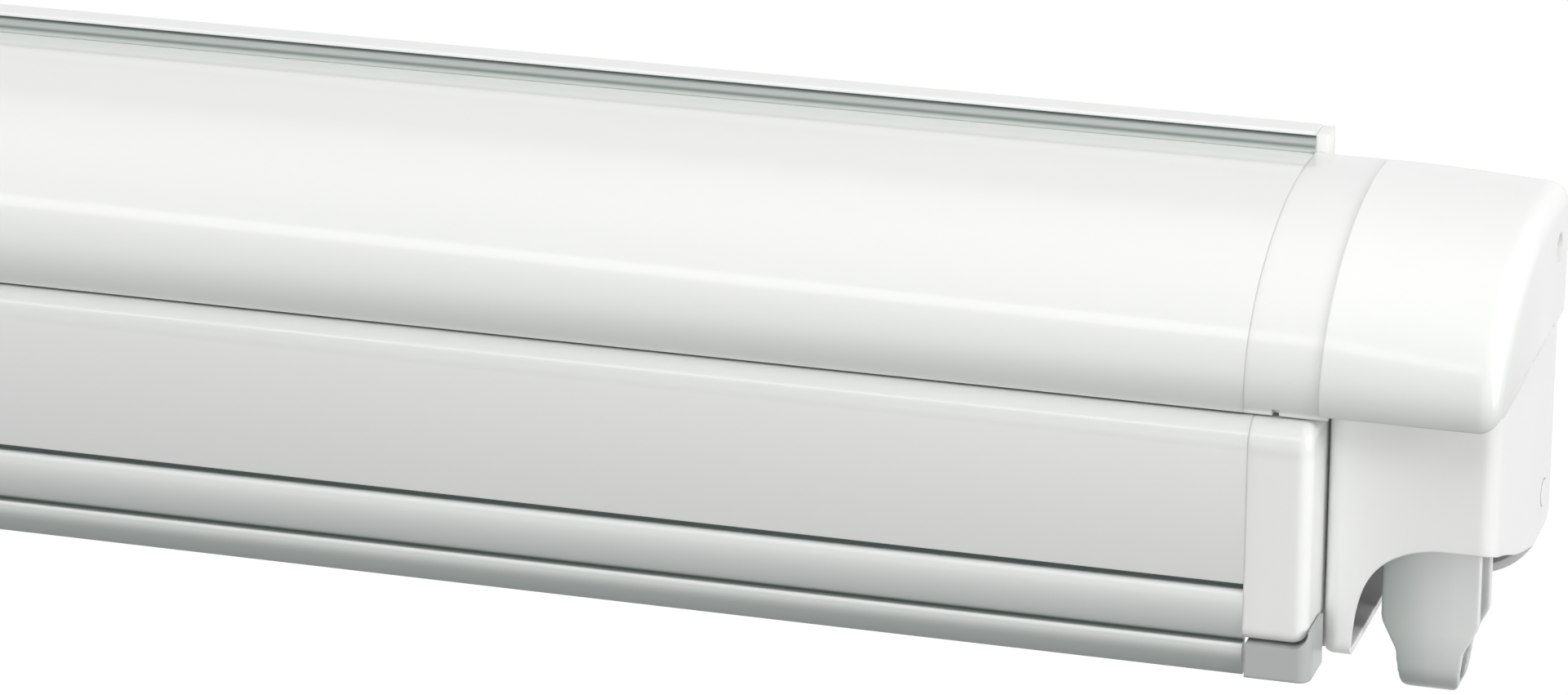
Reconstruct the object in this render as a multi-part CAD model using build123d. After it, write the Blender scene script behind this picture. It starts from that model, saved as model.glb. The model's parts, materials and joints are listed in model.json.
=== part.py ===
from build123d import *
import os
from math import asin, atan, degrees, pi, radians, sin, sqrt, tan

os.makedirs("parts", exist_ok=True)

# Roll out awning, closed in its wall case. Millimetres, +Z up, the wall plane is Y = 0 and the
# front looks along -Y. X runs along the awning and is 0 at mid-length. Heights in this file are
# counted from the bottom of the lower front rail; each part is moved down by face_height when it
# is written, so the origin is the middle of the wall face.

# Long sizes
bar_half = 1240.0          # half the lead bar profile
case_gap = 3.0             # the case profile is this much shorter at each end
canopy_margin = 45.0       # fabric edge inside the end of the lead bar profile
canopy_half = bar_half - canopy_margin
face_height = 70.0         # origin above the bottom of the lower rail

# Clearances
run_clear = 0.05           # pins and shafts in their holes, on the radius
body_clear = 0.3           # between pieces that pass each other
seat_clear = 0.1           # between pieces that rest on each other
slide_clear = 0.4          # telescoping tubes, over both sides
round_edge = 1.0           # small rounded edges

# Case section
hood_depth = 98.0
hood_rear_y = 12.0
hood_rear_z = 129.0
hood_edge_z = 77.6
hood_wall = 1.6
hood_curve_shares = [(0.0, 1.0), (0.2, 1.0), (0.384, 0.962), (0.58, 0.87), (0.74, 0.74),
                     (0.88, 0.56), (0.965, 0.36), (1.0, 0.17), (0.985, 0.0)]
wall_thick = 2.0
back_low_z = 2.0
rail_top_z = 135.4
rail_lip_depth = 9.0
rail_lip_thick = 1.2
rail_groove_radius = 3.2
rail_groove_y = 5.8
rail_ledge_thick = 4.8
rail_ledge_drop = 0.6
floor_depth = 70.0
floor_lip_drop = 1.5
fixing_inset = 240.0
fixing_low_z = 56.0
fixing_high_z = 116.0
fixing_radius = 3.3

# End caps, measured outward from the end of the lead bar profile
collar_end = 19.2
shell_side = 72.0
shell_step = 0.7
lower_side = 70.0
lower_depth = 86.0
lower_low_z = 0.5
behind_bar_depth = 78.0
cap_wall = 2.5
shell_low_z = 79.0
shell_round = 7.0
lower_round = 5.0
lobe_round = 22.0          # lower outer corner of the cap
foot_round = 3.0
upright_out = 1.0
upright_depth = 8.0
upright_low_z = 118.0
upright_top_z = 134.8
shell_fall = 5.0           # how much lower the shell's top is at its outer end
cap_back_round = 13.0      # rounded upper rear corner of the cap
arch_left = 27.8
arch_rise = 37.0
arch_shares = [(0.0, 0.0), (0.01, 0.2), (0.06, 0.54), (0.19, 0.81), (0.4, 0.955), (0.62, 1.0),
               (0.85, 1.0)]
side_rise_shares = [(0.0, 1.0), (0.2, 0.87), (0.45, 0.68), (0.7, 0.53), (0.87, 0.41), (1.0, 0.28)]
arch_rear_depth = 8.0
cap_boss_radius = 5.0
cap_boss_low_y = 11.0
cap_boss_low_z = 30.0
cap_boss_high_y = 12.5
cap_boss_high_z = 108.0
vent_count = 8
vent_pitch = 6.4
vent_width = 1.5
vent_height = 18.0
vent_depth = 1.0
vent_mid_y = 38.4
vent_mid_z = 93.6
collar_notch = 2.0
collar_notch_x = 6.5

# End frames and gearbox
frame_thick = 4.0
frame_flange = 28.0
frame_flange_thick = 3.0
frame_flange_low_z = 8.0
frame_flange_top_z = 54.0
roller_y = 38.8
roller_z = 90.0
shaft_radius = 6.0
bush_radius = 9.0
gear_x = 48.0
gear_half_width = 4.5
wheel_teeth = 14
worm_starts = 2
wheel_pitch_radius = 13.2
worm_pitch_radius = 6.0
tooth_height = 2.0
tooth_width_share = 0.36
tooth_root_share = 0.6
tooth_tip_share = 0.5
tooth_taper_share = 0.7
thread_sink = 0.2
worm_thread_half = 10.0
worm_core_radius = 4.9
housing_out = 62.0
housing_front = 75.0
housing_rear = 18.0
housing_low_z = 68.0
housing_top_z = 108.0
housing_wall = 3.0
cover_thick = 3.0
post_radius = 3.5
post_inset = 4.0
collar_radius = 7.5
collar_thick = 3.0
case_screw_radius = 2.4
case_screw_head_radius = 4.4
case_screw_head = 2.4
cap_screw_radius = 2.3
cap_screw_head_radius = 4.0
cap_screw_head = 2.6
cover_screw_radius = 1.6
cover_screw_head_radius = 3.0
cover_screw_head = 1.8

# Winch eye
eye_pivot_z = 24.0
eye_radius = 10.0
eye_wall = 3.0
eye_top_z = 37.0
eye_low_z = -16.4
eye_half_width = 14.5
eye_loop_half_width = 10.0
eye_tip_half_width = 8.2
eye_shoulder_z = 7.0
eye_shoulder_drop = 9.0
eye_shoulder_round = 5.0
eye_tip_round = 4.5
eye_top_round = 3.0
eye_cover = 1.0
eye_tilt = 20.0
tilt_pin_radius = 2.5
tongue_half = 3.0
tongue_low = 6.0

# Roller and canopy
tube_end_gap = 8.0
tube_radius = 22.5
tube_wall = 1.5
roll_radius = 30.0
plug_length = 35.0
canopy_thick = 0.6
sheet_rear_y = 43.0
sheet_rear_z = 59.5
sheet_front_y = 80.6
sheet_front_z = 66.0

# Folding arms
shoulder_inset = 90.0
shoulder_x = bar_half - shoulder_inset
shoulder_y = 28.0
elbow_x = 100.0
elbow_y = 44.0
wrist_y = 60.0
arm_low_z = 10.0
arm_top_z = 46.0
upper_mid_y = 30.0
fore_mid_y = 58.0
arm_depth = 20.0
arm_wall = 2.2
arm_pin_radius = 5.0
knuckle_radius = 11.0
knuckle_bar_radius = 9.0
knuckle_block_start = 18.0
knuckle_block_end = 32.0
end_block_start = 14.0
end_block_end = 30.0
spigot_length = 25.0
spigot_clear = 0.2
lug_thick = 4.7
fork_lug = 7.5
pin_head_radius = 7.0
pin_head = 1.5
bracket_radius = 12.0
bracket_half = 26.0
bracket_plate = 4.0
wrist_plate_top_z = 62.0
wrist_plate_half = 24.0

# Lead bar
bar_front = 104.0
bar_rear = 80.0
bar_top_z = 77.0
bar_low_z = 10.0
bar_box_z = 52.0
bar_wall = 1.8
bar_front_wall = 2.2
bar_round = 8.0
slot_low_z = 25.6
slot_top_z = 27.6
slot_depth = 2.8
slot_round = 2.5
rib_low_z = 20.0
rib_top_z = 33.0
rib_depth = 4.4
hem_z = 66.0
hem_radius = 2.9
hem_y = 83.6
hem_mouth = 2.0
hem_rod_radius = 2.5
hem_block = 4.4
rail_gap_z = 9.0
rail_flat_z = 5.0
rail_low_z = -1.2
rail_bottom_in = 2.0
rail_rear = 99.8
rail_tongue_top_z = 18.0
bar_cap_out = 19.0
bar_cap_round = 4.0
bar_cap_low_round = 5.0
bar_cap_plug = 15.0
corner_in = 1.0
corner_out = 20.4
corner_front = 104.9
corner_rear = 98.3
corner_low_z = rail_low_z
corner_top_z = 9.4
corner_side_rear = 88.0
corner_side_top_z = 15.0

# Legs. The left one lies above the right one, so that each can slide out past the other.
leg_inset = 18.0
leg_middle = 72.0          # from mid-length to the pivot of the foot
leg_outer_short = 20.0
leg_inner_short = 12.0
leg_x = bar_half - leg_inset
foot_pivot = leg_x - leg_middle
leg_length = foot_pivot - leg_outer_short
leg_inner_end = foot_pivot - leg_inner_short
leg_y = 90.4
leg_z = 15.3
leg_pass = 0.9             # between the lower leg and the lever of the upper one
leg_depth = 14.0
leg_height = 17.0
leg_wall = 1.5
leg_inner_start = 130.0
leg_pin_radius = 3.5
leg_knuckle_length = 40.0
leg_plate = 1.6
leg_plate_below = 7.0
leg_bracket_half = 14.0
leg_web = 1.9
lock_length = 40.0
lock_side_wall = 0.9
lock_top_wall = 1.0
lock_depth = leg_depth + 2 * lock_side_wall
lock_height = leg_height + 2 * lock_top_wall
lever_inset = 8.0
lever_length = 60.0
lever_thick = 3.0
lever_width = 11.0
lever_pin_radius = 1.1
lever_pivot_drop = 2.6
foot_pin_radius = 2.2
foot_ear_radius = 6.5
foot_tongue_half = 3.5
foot_ear = 2.7
foot_base_start = 15.0
foot_base_end = 20.0
foot_base_height = 17.0


def block(x0, x1, y0, y1, z0, z1):
    """Box between two corners."""
    middle = Pos((x0 + x1) / 2, (y0 + y1) / 2, (z0 + z1) / 2)
    return middle * Box(abs(x1 - x0), abs(y1 - y0), abs(z1 - z0))


def rod_x(radius, x0, x1, y, z):
    return Pos((x0 + x1) / 2, y, z) * Rot(0, 90, 0) * Cylinder(radius, abs(x1 - x0))


def rod_y(radius, y0, y1, x, z):
    return Pos(x, (y0 + y1) / 2, z) * Rot(90, 0, 0) * Cylinder(radius, abs(y1 - y0))


def rod_z(radius, z0, z1, x, y):
    return Pos(x, y, (z0 + z1) / 2) * Cylinder(radius, abs(z1 - z0))


def along_x(face, x0, x1):
    """Extrude a face drawn with (Y, Z) coordinates from x0 to x1."""
    return extrude(Plane.YZ.offset(x0) * face, amount=x1 - x0)


def window(y0, y1, z0, z1):
    """Rectangle in (Y, Z) coordinates."""
    return Pos((y0 + y1) / 2, (z0 + z1) / 2) * Rectangle(abs(y1 - y0), abs(z1 - z0))


def outline(points):
    """Closed face through (Y, Z) points."""
    return make_face(Polyline(*points, close=True))


def mirrored(part):
    return mirror(part, about=Plane.YZ)


def write(name, solids):
    """Move the part to the wall face origin and write it."""
    items = solids if isinstance(solids, list) else [solids]
    loose = []
    for item in items:
        loose.extend((Pos(0, 0, -face_height) * item).solids())
    shape = loose[0] if len(loose) == 1 else Compound(children=loose)
    export_step(shape, os.path.join("parts", name + ".step"))


def hood_region(grow, fall=0):
    """Area under the hood curve, grown or shrunk by the given amount, its top lowered by fall."""
    span_y = hood_depth - hood_rear_y + grow
    span_z = hood_rear_z - fall - hood_edge_z + grow
    points = []
    for share_y, share_z in hood_curve_shares:
        points.append((-hood_rear_y - share_y * span_y, hood_edge_z + share_z * span_z))
    close = Polyline(points[-1], (0, hood_edge_z), (0, hood_rear_z - fall + grow), points[0])
    area = make_face([Spline(*points), close])
    if grow < 0:
        area &= window(-2 * hood_depth, grow, hood_edge_z - grow, 2 * hood_rear_z)
    return area


def case_half():
    return bar_half - case_gap


def case_back():
    """Back wall with the hook rail at the top and the floor at the bottom."""
    ledge_top = rail_top_z - rail_lip_thick
    low_ledge = hood_rear_z - rail_ledge_drop
    face = window(-wall_thick, 0, back_low_z, rail_top_z)
    face += window(-rail_lip_depth, 0, ledge_top, rail_top_z)
    face += window(-rail_groove_y, 0, low_ledge - rail_ledge_thick, rail_top_z)
    face += window(-hood_rear_y + seat_clear, 0, low_ledge - rail_ledge_thick, low_ledge)
    groove = Pos(-rail_groove_y, ledge_top - rail_groove_radius) * Circle(rail_groove_radius)
    face -= groove
    face += window(-floor_depth, 0, back_low_z, back_low_z + wall_thick)
    lip_low = back_low_z - floor_lip_drop
    face += window(-floor_depth, wall_thick - floor_depth, lip_low, back_low_z + wall_thick)
    part = along_x(face, -case_half(), case_half())
    for x in (fixing_inset - bar_half, bar_half - fixing_inset):
        for z in (fixing_low_z, fixing_high_z):
            part -= rod_y(fixing_radius, -hood_rear_y, wall_thick, x, z)
    return part


def case_hood():
    """Curved front shell, open below and at the back."""
    face = hood_region(0) - hood_region(-hood_wall)
    inner = hood_wall - hood_depth
    face -= window(inner, 0, 0, hood_edge_z + 2 * hood_wall)
    face -= window(-hood_rear_y, hood_rear_y, 0, 2 * hood_rear_z)
    return along_x(face, -case_half(), case_half())


def hood_seal():
    """Soft strip inside the hood's lower edge."""
    front = hood_depth - 2 * hood_wall
    low = hood_edge_z - body_clear
    face = window(-front, hood_wall - front, low, low + 4 * hood_wall)
    return along_x(face, -case_half(), case_half())


def arch_opening():
    """Space left open in the lower part of a cap for the winch eye."""
    width = lower_side - arch_left
    low = -arch_rise
    points = []
    for share_x, share_z in arch_shares:
        points.append((arch_left + share_x * width, share_z * arch_rise))
    far = shell_side + cap_wall
    rest = Polyline(points[-1], (far, arch_rise), (far, low), (arch_left, low), points[0])
    front = make_face([Spline(*points), rest])
    sweep_depth = lower_depth + cap_wall
    arch = extrude(Plane.XZ * front, amount=sweep_depth)
    span = lower_depth - arch_rear_depth
    edge = []
    for share_y, share_z in side_rise_shares:
        edge.append((-lower_depth + share_y * span, share_z * arch_rise))
    near = -lower_depth - cap_wall
    rest = Polyline(edge[-1], (-arch_rear_depth, low), (near, low), (near, arch_rise), edge[0])
    side = make_face([Spline(*edge), rest])
    return arch & along_x(side, arch_left - cap_wall, far)


def falling_hood(grow, start, end):
    """Solid under the hood curve whose top falls evenly from the collar to the shell's side."""
    rate = shell_fall / (shell_side - collar_end)
    faces = []
    for x in (start, end):
        faces.append(Plane.YZ.offset(x) * hood_region(grow, rate * (x - collar_end)))
    return loft(faces)


def rear_corner(start, end, grow):
    """Material outside the rounded upper rear corner of a cap."""
    reach = cap_back_round + grow
    centre = Pos(-cap_back_round, hood_rear_z + shell_step - cap_back_round)
    square = window(-cap_back_round, cap_back_round, hood_rear_z + shell_step - cap_back_round,
                    2 * hood_rear_z)
    return along_x(square - centre * Circle(reach), start, end)


def cap_outside():
    """Outer form of a cap: collar, proud shell, recessed lower part, rear upright."""
    shell = falling_hood(shell_step, collar_end, shell_side)
    shell &= block(collar_end, shell_side, -2 * hood_depth, 0, shell_low_z, 2 * hood_rear_z)
    rim = shell.faces().sort_by(Axis.X)[-1].edges().filter_by(lambda e: e.center().Y < -round_edge)
    under = shell.edges().filter_by(Axis.X).group_by(Axis.Z)[0].sort_by(Axis.Y)[0:1]
    shell = fillet(rim + under, shell_round)
    collar = along_x(hood_region(0), -case_gap, collar_end + cap_wall)
    lower = block(collar_end + body_clear, lower_side, -lower_depth, 0, lower_low_z, shell_low_z
                  + shell_round)
    low_edges = lower.edges().filter_by(Axis.Y).group_by(Axis.Z)[0].sort_by(Axis.X)
    lower = fillet(low_edges[-1:], lobe_round)
    lower = fillet(lower.edges().filter_by(Axis.Y).group_by(Axis.Z)[0].sort_by(Axis.X)[:1], foot_round)
    corners = lower.edges().filter_by(Axis.Z).group_by(Axis.Y)[0]
    lower = fillet(corners, lower_round)
    behind = block(-case_gap, collar_end + cap_wall, -behind_bar_depth, 0, lower_low_z, shell_low_z)
    upright = block(-case_gap, upright_out, -upright_depth, 0, upright_low_z, upright_top_z)
    rounded = shell + collar + lower + behind
    return rounded - rear_corner(upright_out, 2 * shell_side, 0) + upright


def cap_inside():
    """Hollow of a cap, open towards the case."""
    upper = along_x(hood_region(-cap_wall), -2 * case_gap, collar_end)
    upper += falling_hood(-cap_wall, collar_end, shell_side - cap_wall - shell_step)
    upper -= rear_corner(upright_out - cap_wall, shell_side, -cap_wall)
    rounded_top = shell_low_z + shell_round
    upper -= block(collar_end, shell_side, -hood_depth, cap_wall - lower_depth, 0, rounded_top)
    upper -= block(lower_side - cap_wall, shell_side, -hood_depth, 0, 0, rounded_top)
    side = lower_side - cap_wall
    top = hood_edge_z + 2 * cap_wall
    behind = block(-2 * case_gap, side, cap_wall - behind_bar_depth, -cap_wall,
                   lower_low_z + cap_wall, top)
    front = block(collar_end + cap_wall + body_clear, side, cap_wall - lower_depth, -cap_wall,
                  lower_low_z + cap_wall, top)
    return upper + lobe_rounded(behind) + lobe_rounded(front)


def lobe_rounded(hollow):
    """Hollow with its lower outer edge following the rounded corner of the cap."""
    edges = hollow.edges().filter_by(Axis.Y).group_by(Axis.Z)[0].sort_by(Axis.X)
    return fillet(edges[-1:], lobe_round - cap_wall)


def cap_boss_spots():
    return [(-cap_boss_low_y, cap_boss_low_z), (-cap_boss_high_y, cap_boss_high_z)]


def side_vents():
    """Upright grooves in the cap's side."""
    grooves = []
    for index in range(vent_count):
        y = -vent_mid_y + (index - (vent_count - 1) / 2) * vent_pitch
        half = vent_height / 2
        grooves.append(block(shell_side - vent_depth, 2 * shell_side, y - vent_width / 2,
                             y + vent_width / 2, vent_mid_z - half, vent_mid_z + half))
    return grooves


def end_cap():
    """Right end cap in cap coordinates, X = 0 at the end of the lead bar profile."""
    part = cap_outside() - cap_inside() - arch_opening()
    for y, z in cap_boss_spots():
        part += rod_x(cap_boss_radius, frame_thick, shell_side - cap_wall, y, z)
        part -= rod_x(cap_screw_radius + body_clear, -case_gap, 2 * shell_side, y, z)
        part -= rod_x(cap_screw_head_radius + body_clear, lower_side - cap_wall, 2 * shell_side,
                      y, z)
    for groove in side_vents():
        part -= groove
    notch_x = collar_notch_x + collar_notch / 2
    part -= block(collar_notch_x - collar_notch / 2, notch_x, -hood_depth, -hood_depth + collar_notch * 2,
                  hood_edge_z - collar_notch, hood_edge_z + collar_notch)
    return Pos(bar_half, 0, 0) * part


def end_frame():
    """Plate that closes the case end, carries the roller and is screwed to the back wall."""
    upper = hood_region(-cap_wall - body_clear)
    inset = cap_wall + body_clear
    rear = -inset
    face = upper + window(inset - behind_bar_depth, rear, lower_low_z + inset, hood_edge_z + inset)
    part = along_x(face, -case_gap, frame_thick - case_gap)
    part -= rear_corner(-2 * case_gap, frame_thick, -cap_wall - body_clear)
    flange = block(-case_gap - frame_flange, -case_gap, -wall_thick - frame_flange_thick,
                   -wall_thick, frame_flange_low_z, frame_flange_top_z)
    part += flange
    part -= rod_x(bush_radius, -2 * case_gap, 2 * frame_thick, -roller_y, roller_z)
    for y, z in cap_boss_spots():
        part -= rod_x(cap_screw_radius, -2 * case_gap, 2 * frame_thick, y, z)
    for z in frame_screw_heights():
        part -= rod_y(case_screw_radius, -hood_rear_y, 0, -case_gap - frame_flange / 2, z)
    return Pos(bar_half, 0, 0) * part


def frame_screw_heights():
    step = (frame_flange_top_z - frame_flange_low_z) / 4
    return (frame_flange_low_z + step, frame_flange_top_z - step)


def post_spots():
    rear = housing_rear + post_inset
    front = housing_front - post_inset
    low = housing_low_z + post_inset
    top = housing_top_z - post_inset
    return [(-rear, low), (-rear, top), (-front, low), (-front, top)]


def worm_y():
    return roller_y + wheel_pitch_radius + worm_pitch_radius


def gearbox_housing():
    """Box around the gears, fixed on the end frame and open towards the side."""
    start = frame_thick - case_gap
    wall = housing_wall
    part = block(start, housing_out, -housing_front, -housing_rear, housing_low_z, housing_top_z)
    part -= block(start + wall, housing_out + wall, wall - housing_front, -wall - housing_rear,
                  housing_low_z + wall, housing_top_z - wall)
    for y, z in post_spots():
        part += rod_x(post_radius, start, housing_out, y, z)
        part -= rod_x(cover_screw_radius, -case_gap, housing_out + wall, y, z)
    part -= rod_x(bush_radius, -case_gap, 2 * frame_thick, -roller_y, roller_z)
    part -= rod_z(worm_core_radius + run_clear, 0, 2 * roller_z, gear_x, -worm_y())
    return Pos(bar_half, 0, 0) * part


def gearbox_cover():
    end = housing_out + cover_thick
    part = block(housing_out, end, -housing_front, -housing_rear, housing_low_z, housing_top_z)
    for y, z in post_spots():
        part -= rod_x(cover_screw_radius, housing_out - cover_thick, 2 * end, y, z)
    return Pos(bar_half, 0, 0) * part


def gearbox_screws():
    end = housing_out + cover_thick
    screws = []
    for y, z in post_spots():
        screw = rod_x(cover_screw_radius, frame_thick, end, y, z)
        screw += rod_x(cover_screw_head_radius, end, end + cover_screw_head, y, z)
        screws.append(Pos(bar_half, 0, 0) * screw)
    return screws


def shaft_bush(out):
    """Plain bearing in the end frame; the drive side also passes the housing wall."""
    part = rod_x(bush_radius, -case_gap, out, -roller_y, roller_z)
    part -= rod_x(shaft_radius + run_clear, -2 * case_gap, 2 * out, -roller_y, roller_z)
    return Pos(bar_half, 0, 0) * part


def end_cap_screws():
    screws = []
    for y, z in cap_boss_spots():
        screw = rod_x(cap_screw_radius, -case_gap, lower_side - cap_wall, y, z)
        screw += rod_x(cap_screw_head_radius, lower_side - cap_wall, lower_side - cap_wall
                       + cap_screw_head, y, z)
        screw = Pos(bar_half, 0, 0) * screw
        screws.append(screw)
        screws.append(mirrored(screw))
    return screws


def screw_from_front(x, z, seat_y):
    """Pan-head screw through a plate on the back wall; seat_y is the plate's front face."""
    part = rod_y(case_screw_radius, -seat_y, -wall_thick, x, z)
    return part + rod_y(case_screw_head_radius, -seat_y - case_screw_head, -seat_y, x, z)


def bracket_screw_spots():
    inset = case_screw_head_radius + round_edge
    x = bracket_half - inset
    mid = (arm_low_z + arm_top_z) / 2
    rise = (arm_top_z - arm_low_z) / 4
    return [(shoulder_x + side * x, mid + up * rise) for side in (-1, 1) for up in (-1, 1)]


def case_screws():
    screws = []
    for z in frame_screw_heights():
        x = bar_half - case_gap - frame_flange / 2
        screws.append(screw_from_front(x, z, wall_thick + frame_flange_thick))
    for x, z in bracket_screw_spots():
        screws.append(screw_from_front(x, z, wall_thick + bracket_plate))
    return screws + [mirrored(screw) for screw in screws]


def lug(radius, x, y, z0, z1, plate_y, half):
    """Plate around a pin that runs back to a bracket plate."""
    low = min(y, plate_y)
    high = max(y, plate_y)
    return rod_z(radius, z0, z1, x, y) + block(x - half, x + half, low, high, z0, z1)


def shoulder_bracket():
    """Wall bracket with two lugs that holds the shoulder pin."""
    low = arm_low_z - body_clear - lug_thick
    top = arm_top_z + body_clear + lug_thick
    plate_y = -wall_thick - bracket_plate
    part = block(shoulder_x - bracket_half, shoulder_x + bracket_half, plate_y, -wall_thick, low, top)
    for z in (low, top - lug_thick):
        part += lug(bracket_radius, shoulder_x, -shoulder_y, z, z + lug_thick, plate_y, bracket_radius)
    part -= rod_z(arm_pin_radius, 0, 2 * top, shoulder_x, -shoulder_y)
    for x, z in bracket_screw_spots():
        part -= rod_y(case_screw_radius, 2 * plate_y, 0, x, z)
    return part


def arm_pin(x, y, low, top):
    pin = rod_z(arm_pin_radius, low, top, x, y)
    return pin + rod_z(pin_head_radius, top, top + pin_head, x, y)


def bracket_pin(x, y):
    low = arm_low_z - body_clear - lug_thick
    return arm_pin(x, y, low, arm_top_z + body_clear + lug_thick)


def arm_tube(mid_y):
    """Rectangular arm tube between its two end pieces."""
    x0 = elbow_x + knuckle_block_end
    x1 = shoulder_x - end_block_end
    half = arm_depth / 2
    part = block(x0, x1, mid_y - half, mid_y + half, arm_low_z, arm_top_z)
    inner = half - arm_wall
    part -= block(x0 - arm_wall, x1 + arm_wall, mid_y - inner, mid_y + inner,
                  arm_low_z + arm_wall, arm_top_z - arm_wall)
    edges = part.edges().filter_by(Axis.X).group_by(Axis.Z)
    return fillet(edges[0] + edges[-1], round_edge)


def spigot(x0, x1, mid_y):
    """Tongue that seats in the arm tube."""
    half = arm_depth / 2 - arm_wall - spigot_clear
    inset = arm_wall + spigot_clear
    return block(x0, x1, mid_y - half, mid_y + half, arm_low_z + inset, arm_top_z - inset)


def end_knuckle(pin_y, mid_y):
    """Arm end at the shoulder or the wrist: an eye around the pin, a neck and a spigot."""
    x0 = shoulder_x - end_block_end
    x1 = shoulder_x - end_block_start
    half = arm_depth / 2
    part = rod_z(knuckle_radius, arm_low_z, arm_top_z, shoulder_x, pin_y)
    neck_mid = (pin_y + mid_y) / 2
    neck = half - round_edge
    part += block(x1, shoulder_x, neck_mid - neck, neck_mid + neck, arm_low_z, arm_top_z)
    part += block(x0, x1, mid_y - half, mid_y + half, arm_low_z, arm_top_z)
    part += spigot(x0 - spigot_length, x0, mid_y)
    return part - rod_z(arm_pin_radius + run_clear, 0, 2 * arm_top_z, shoulder_x, pin_y)


def elbow_link(z0, z1, mid_y):
    """Flat link from the elbow pin to the arm's end block."""
    eye = Pos(elbow_x, -elbow_y) * Circle(knuckle_radius)
    reach = knuckle_block_end - knuckle_bar_radius
    foot = Pos(elbow_x + reach, mid_y) * Circle(knuckle_bar_radius)
    hull = make_hull([eye.edge(), foot.edge()])
    return extrude(Pos(0, 0, z0) * hull, amount=z1 - z0)


def elbow_block(mid_y):
    half = arm_depth / 2
    x0 = elbow_x + knuckle_block_start
    x1 = elbow_x + knuckle_block_end
    part = block(x0, x1, mid_y - half, mid_y + half, arm_low_z, arm_top_z)
    return part + spigot(x1, x1 + spigot_length, mid_y)


def elbow_fork():
    """Upper arm's elbow end with two lugs."""
    part = elbow_block(-upper_mid_y)
    part += elbow_link(arm_low_z, arm_low_z + fork_lug, -upper_mid_y)
    part += elbow_link(arm_top_z - fork_lug, arm_top_z, -upper_mid_y)
    return part - rod_z(arm_pin_radius, 0, 2 * arm_top_z, elbow_x, -elbow_y)


def elbow_tongue():
    """Forearm's elbow end, a single tongue between the fork's lugs."""
    part = elbow_block(-fore_mid_y)
    gap = fork_lug + body_clear
    part += elbow_link(arm_low_z + gap, arm_top_z - gap, -fore_mid_y)
    return part - rod_z(arm_pin_radius + run_clear, 0, 2 * arm_top_z, elbow_x, -elbow_y)


def roller_tube():
    end = bar_half - tube_end_gap
    part = rod_x(tube_radius, -end, end, -roller_y, roller_z)
    return part - rod_x(tube_radius - tube_wall, -2 * end, 2 * end, -roller_y, roller_z)


def canopy_roll():
    """Wound fabric, a plain closed roll inside the case."""
    part = rod_x(roll_radius, -canopy_half, canopy_half, -roller_y, roller_z)
    return part - rod_x(tube_radius, -2 * canopy_half, 2 * canopy_half, -roller_y, roller_z)


def roller_plug(shaft_end):
    """Plug pressed into the tube with its shaft."""
    end = bar_half - tube_end_gap
    plug = rod_x(tube_radius - tube_wall, end - plug_length, end, -roller_y, roller_z)
    return plug + rod_x(shaft_radius, end, bar_half + shaft_end, -roller_y, roller_z)


def worm_lead():
    return worm_starts * 2 * pi * wheel_pitch_radius / wheel_teeth


def worm_wheel():
    """Wheel with slanted teeth that fit the worm's lead."""
    root = wheel_pitch_radius - tooth_height * tooth_root_share
    tip = wheel_pitch_radius + tooth_height * tooth_tip_share
    lead_slope = worm_lead() / (2 * pi * worm_pitch_radius)
    twist = degrees(gear_half_width * lead_slope / wheel_pitch_radius)
    part = Rot(0, 90, 0) * Cylinder(root, 2 * gear_half_width)
    half = tooth_width_share * pi * wheel_pitch_radius / wheel_teeth
    tip_half = half * tooth_taper_share
    sink = root - tooth_height
    for index in range(wheel_teeth):
        angle = 180 + index * 360 / wheel_teeth
        rings = []
        for side in (-1, 1):
            tooth = make_face(Polyline((sink, -half), (tip, -tip_half), (tip, tip_half),
                                       (sink, half), close=True))
            turned = Rot(0, 0, angle + side * twist) * tooth
            rings.append(Plane.YZ.offset(side * gear_half_width) * turned)
        part += loft(rings)
    part -= Rot(0, 90, 0) * Cylinder(shaft_radius, 4 * gear_half_width)
    return Pos(bar_half + gear_x, -roller_y, roller_z) * part


def worm_thread():
    """One start of the worm, centred on the origin along Z."""
    lead = worm_lead()
    height = 2 * worm_thread_half
    axial = 2 * pi * wheel_pitch_radius / wheel_teeth
    half = tooth_width_share * axial / 2
    tip_half = half * tooth_taper_share
    path = Helix(lead, height, worm_pitch_radius)
    start = path @ 0
    frame = Plane(origin=start, x_dir=(1, 0, 0), z_dir=path % 0)
    depth = tooth_height * tooth_tip_share
    root = worm_core_radius - worm_pitch_radius - thread_sink
    face = make_face(Polyline((root, -half), (depth, -tip_half), (depth, tip_half),
                              (root, half), close=True))
    return Pos(0, 0, -worm_thread_half) * sweep(frame * face, path=path, is_frenet=True)


def worm_shaft():
    """Upright winch shaft with its worm, two collars and the tongue that carries the eye."""
    top = housing_top_z - round_edge
    part = rod_z(worm_core_radius, eye_pivot_z + tongue_half, top, 0, 0)
    pitch = worm_lead() / worm_starts
    phase = 90 - 360 * (pitch / 2 + worm_thread_half) / worm_lead()
    for index in range(worm_starts):
        turn = phase + index * 360 / worm_starts
        part += Pos(0, 0, roller_z) * Rot(0, 0, turn) * worm_thread()
    low = housing_low_z + housing_wall + body_clear
    high = housing_top_z - housing_wall - body_clear - collar_thick
    for z in (low, high):
        part += rod_z(collar_radius, z, z + collar_thick, 0, 0)
    tongue = block(-worm_core_radius, worm_core_radius, -tongue_half, tongue_half,
                   eye_pivot_z - tongue_low, eye_pivot_z + 2 * tongue_low)
    part += tongue
    part -= rod_y(tilt_pin_radius, -2 * eye_radius, 2 * eye_radius, 0, eye_pivot_z)
    return Pos(bar_half + gear_x, -worm_y(), 0) * part


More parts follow.
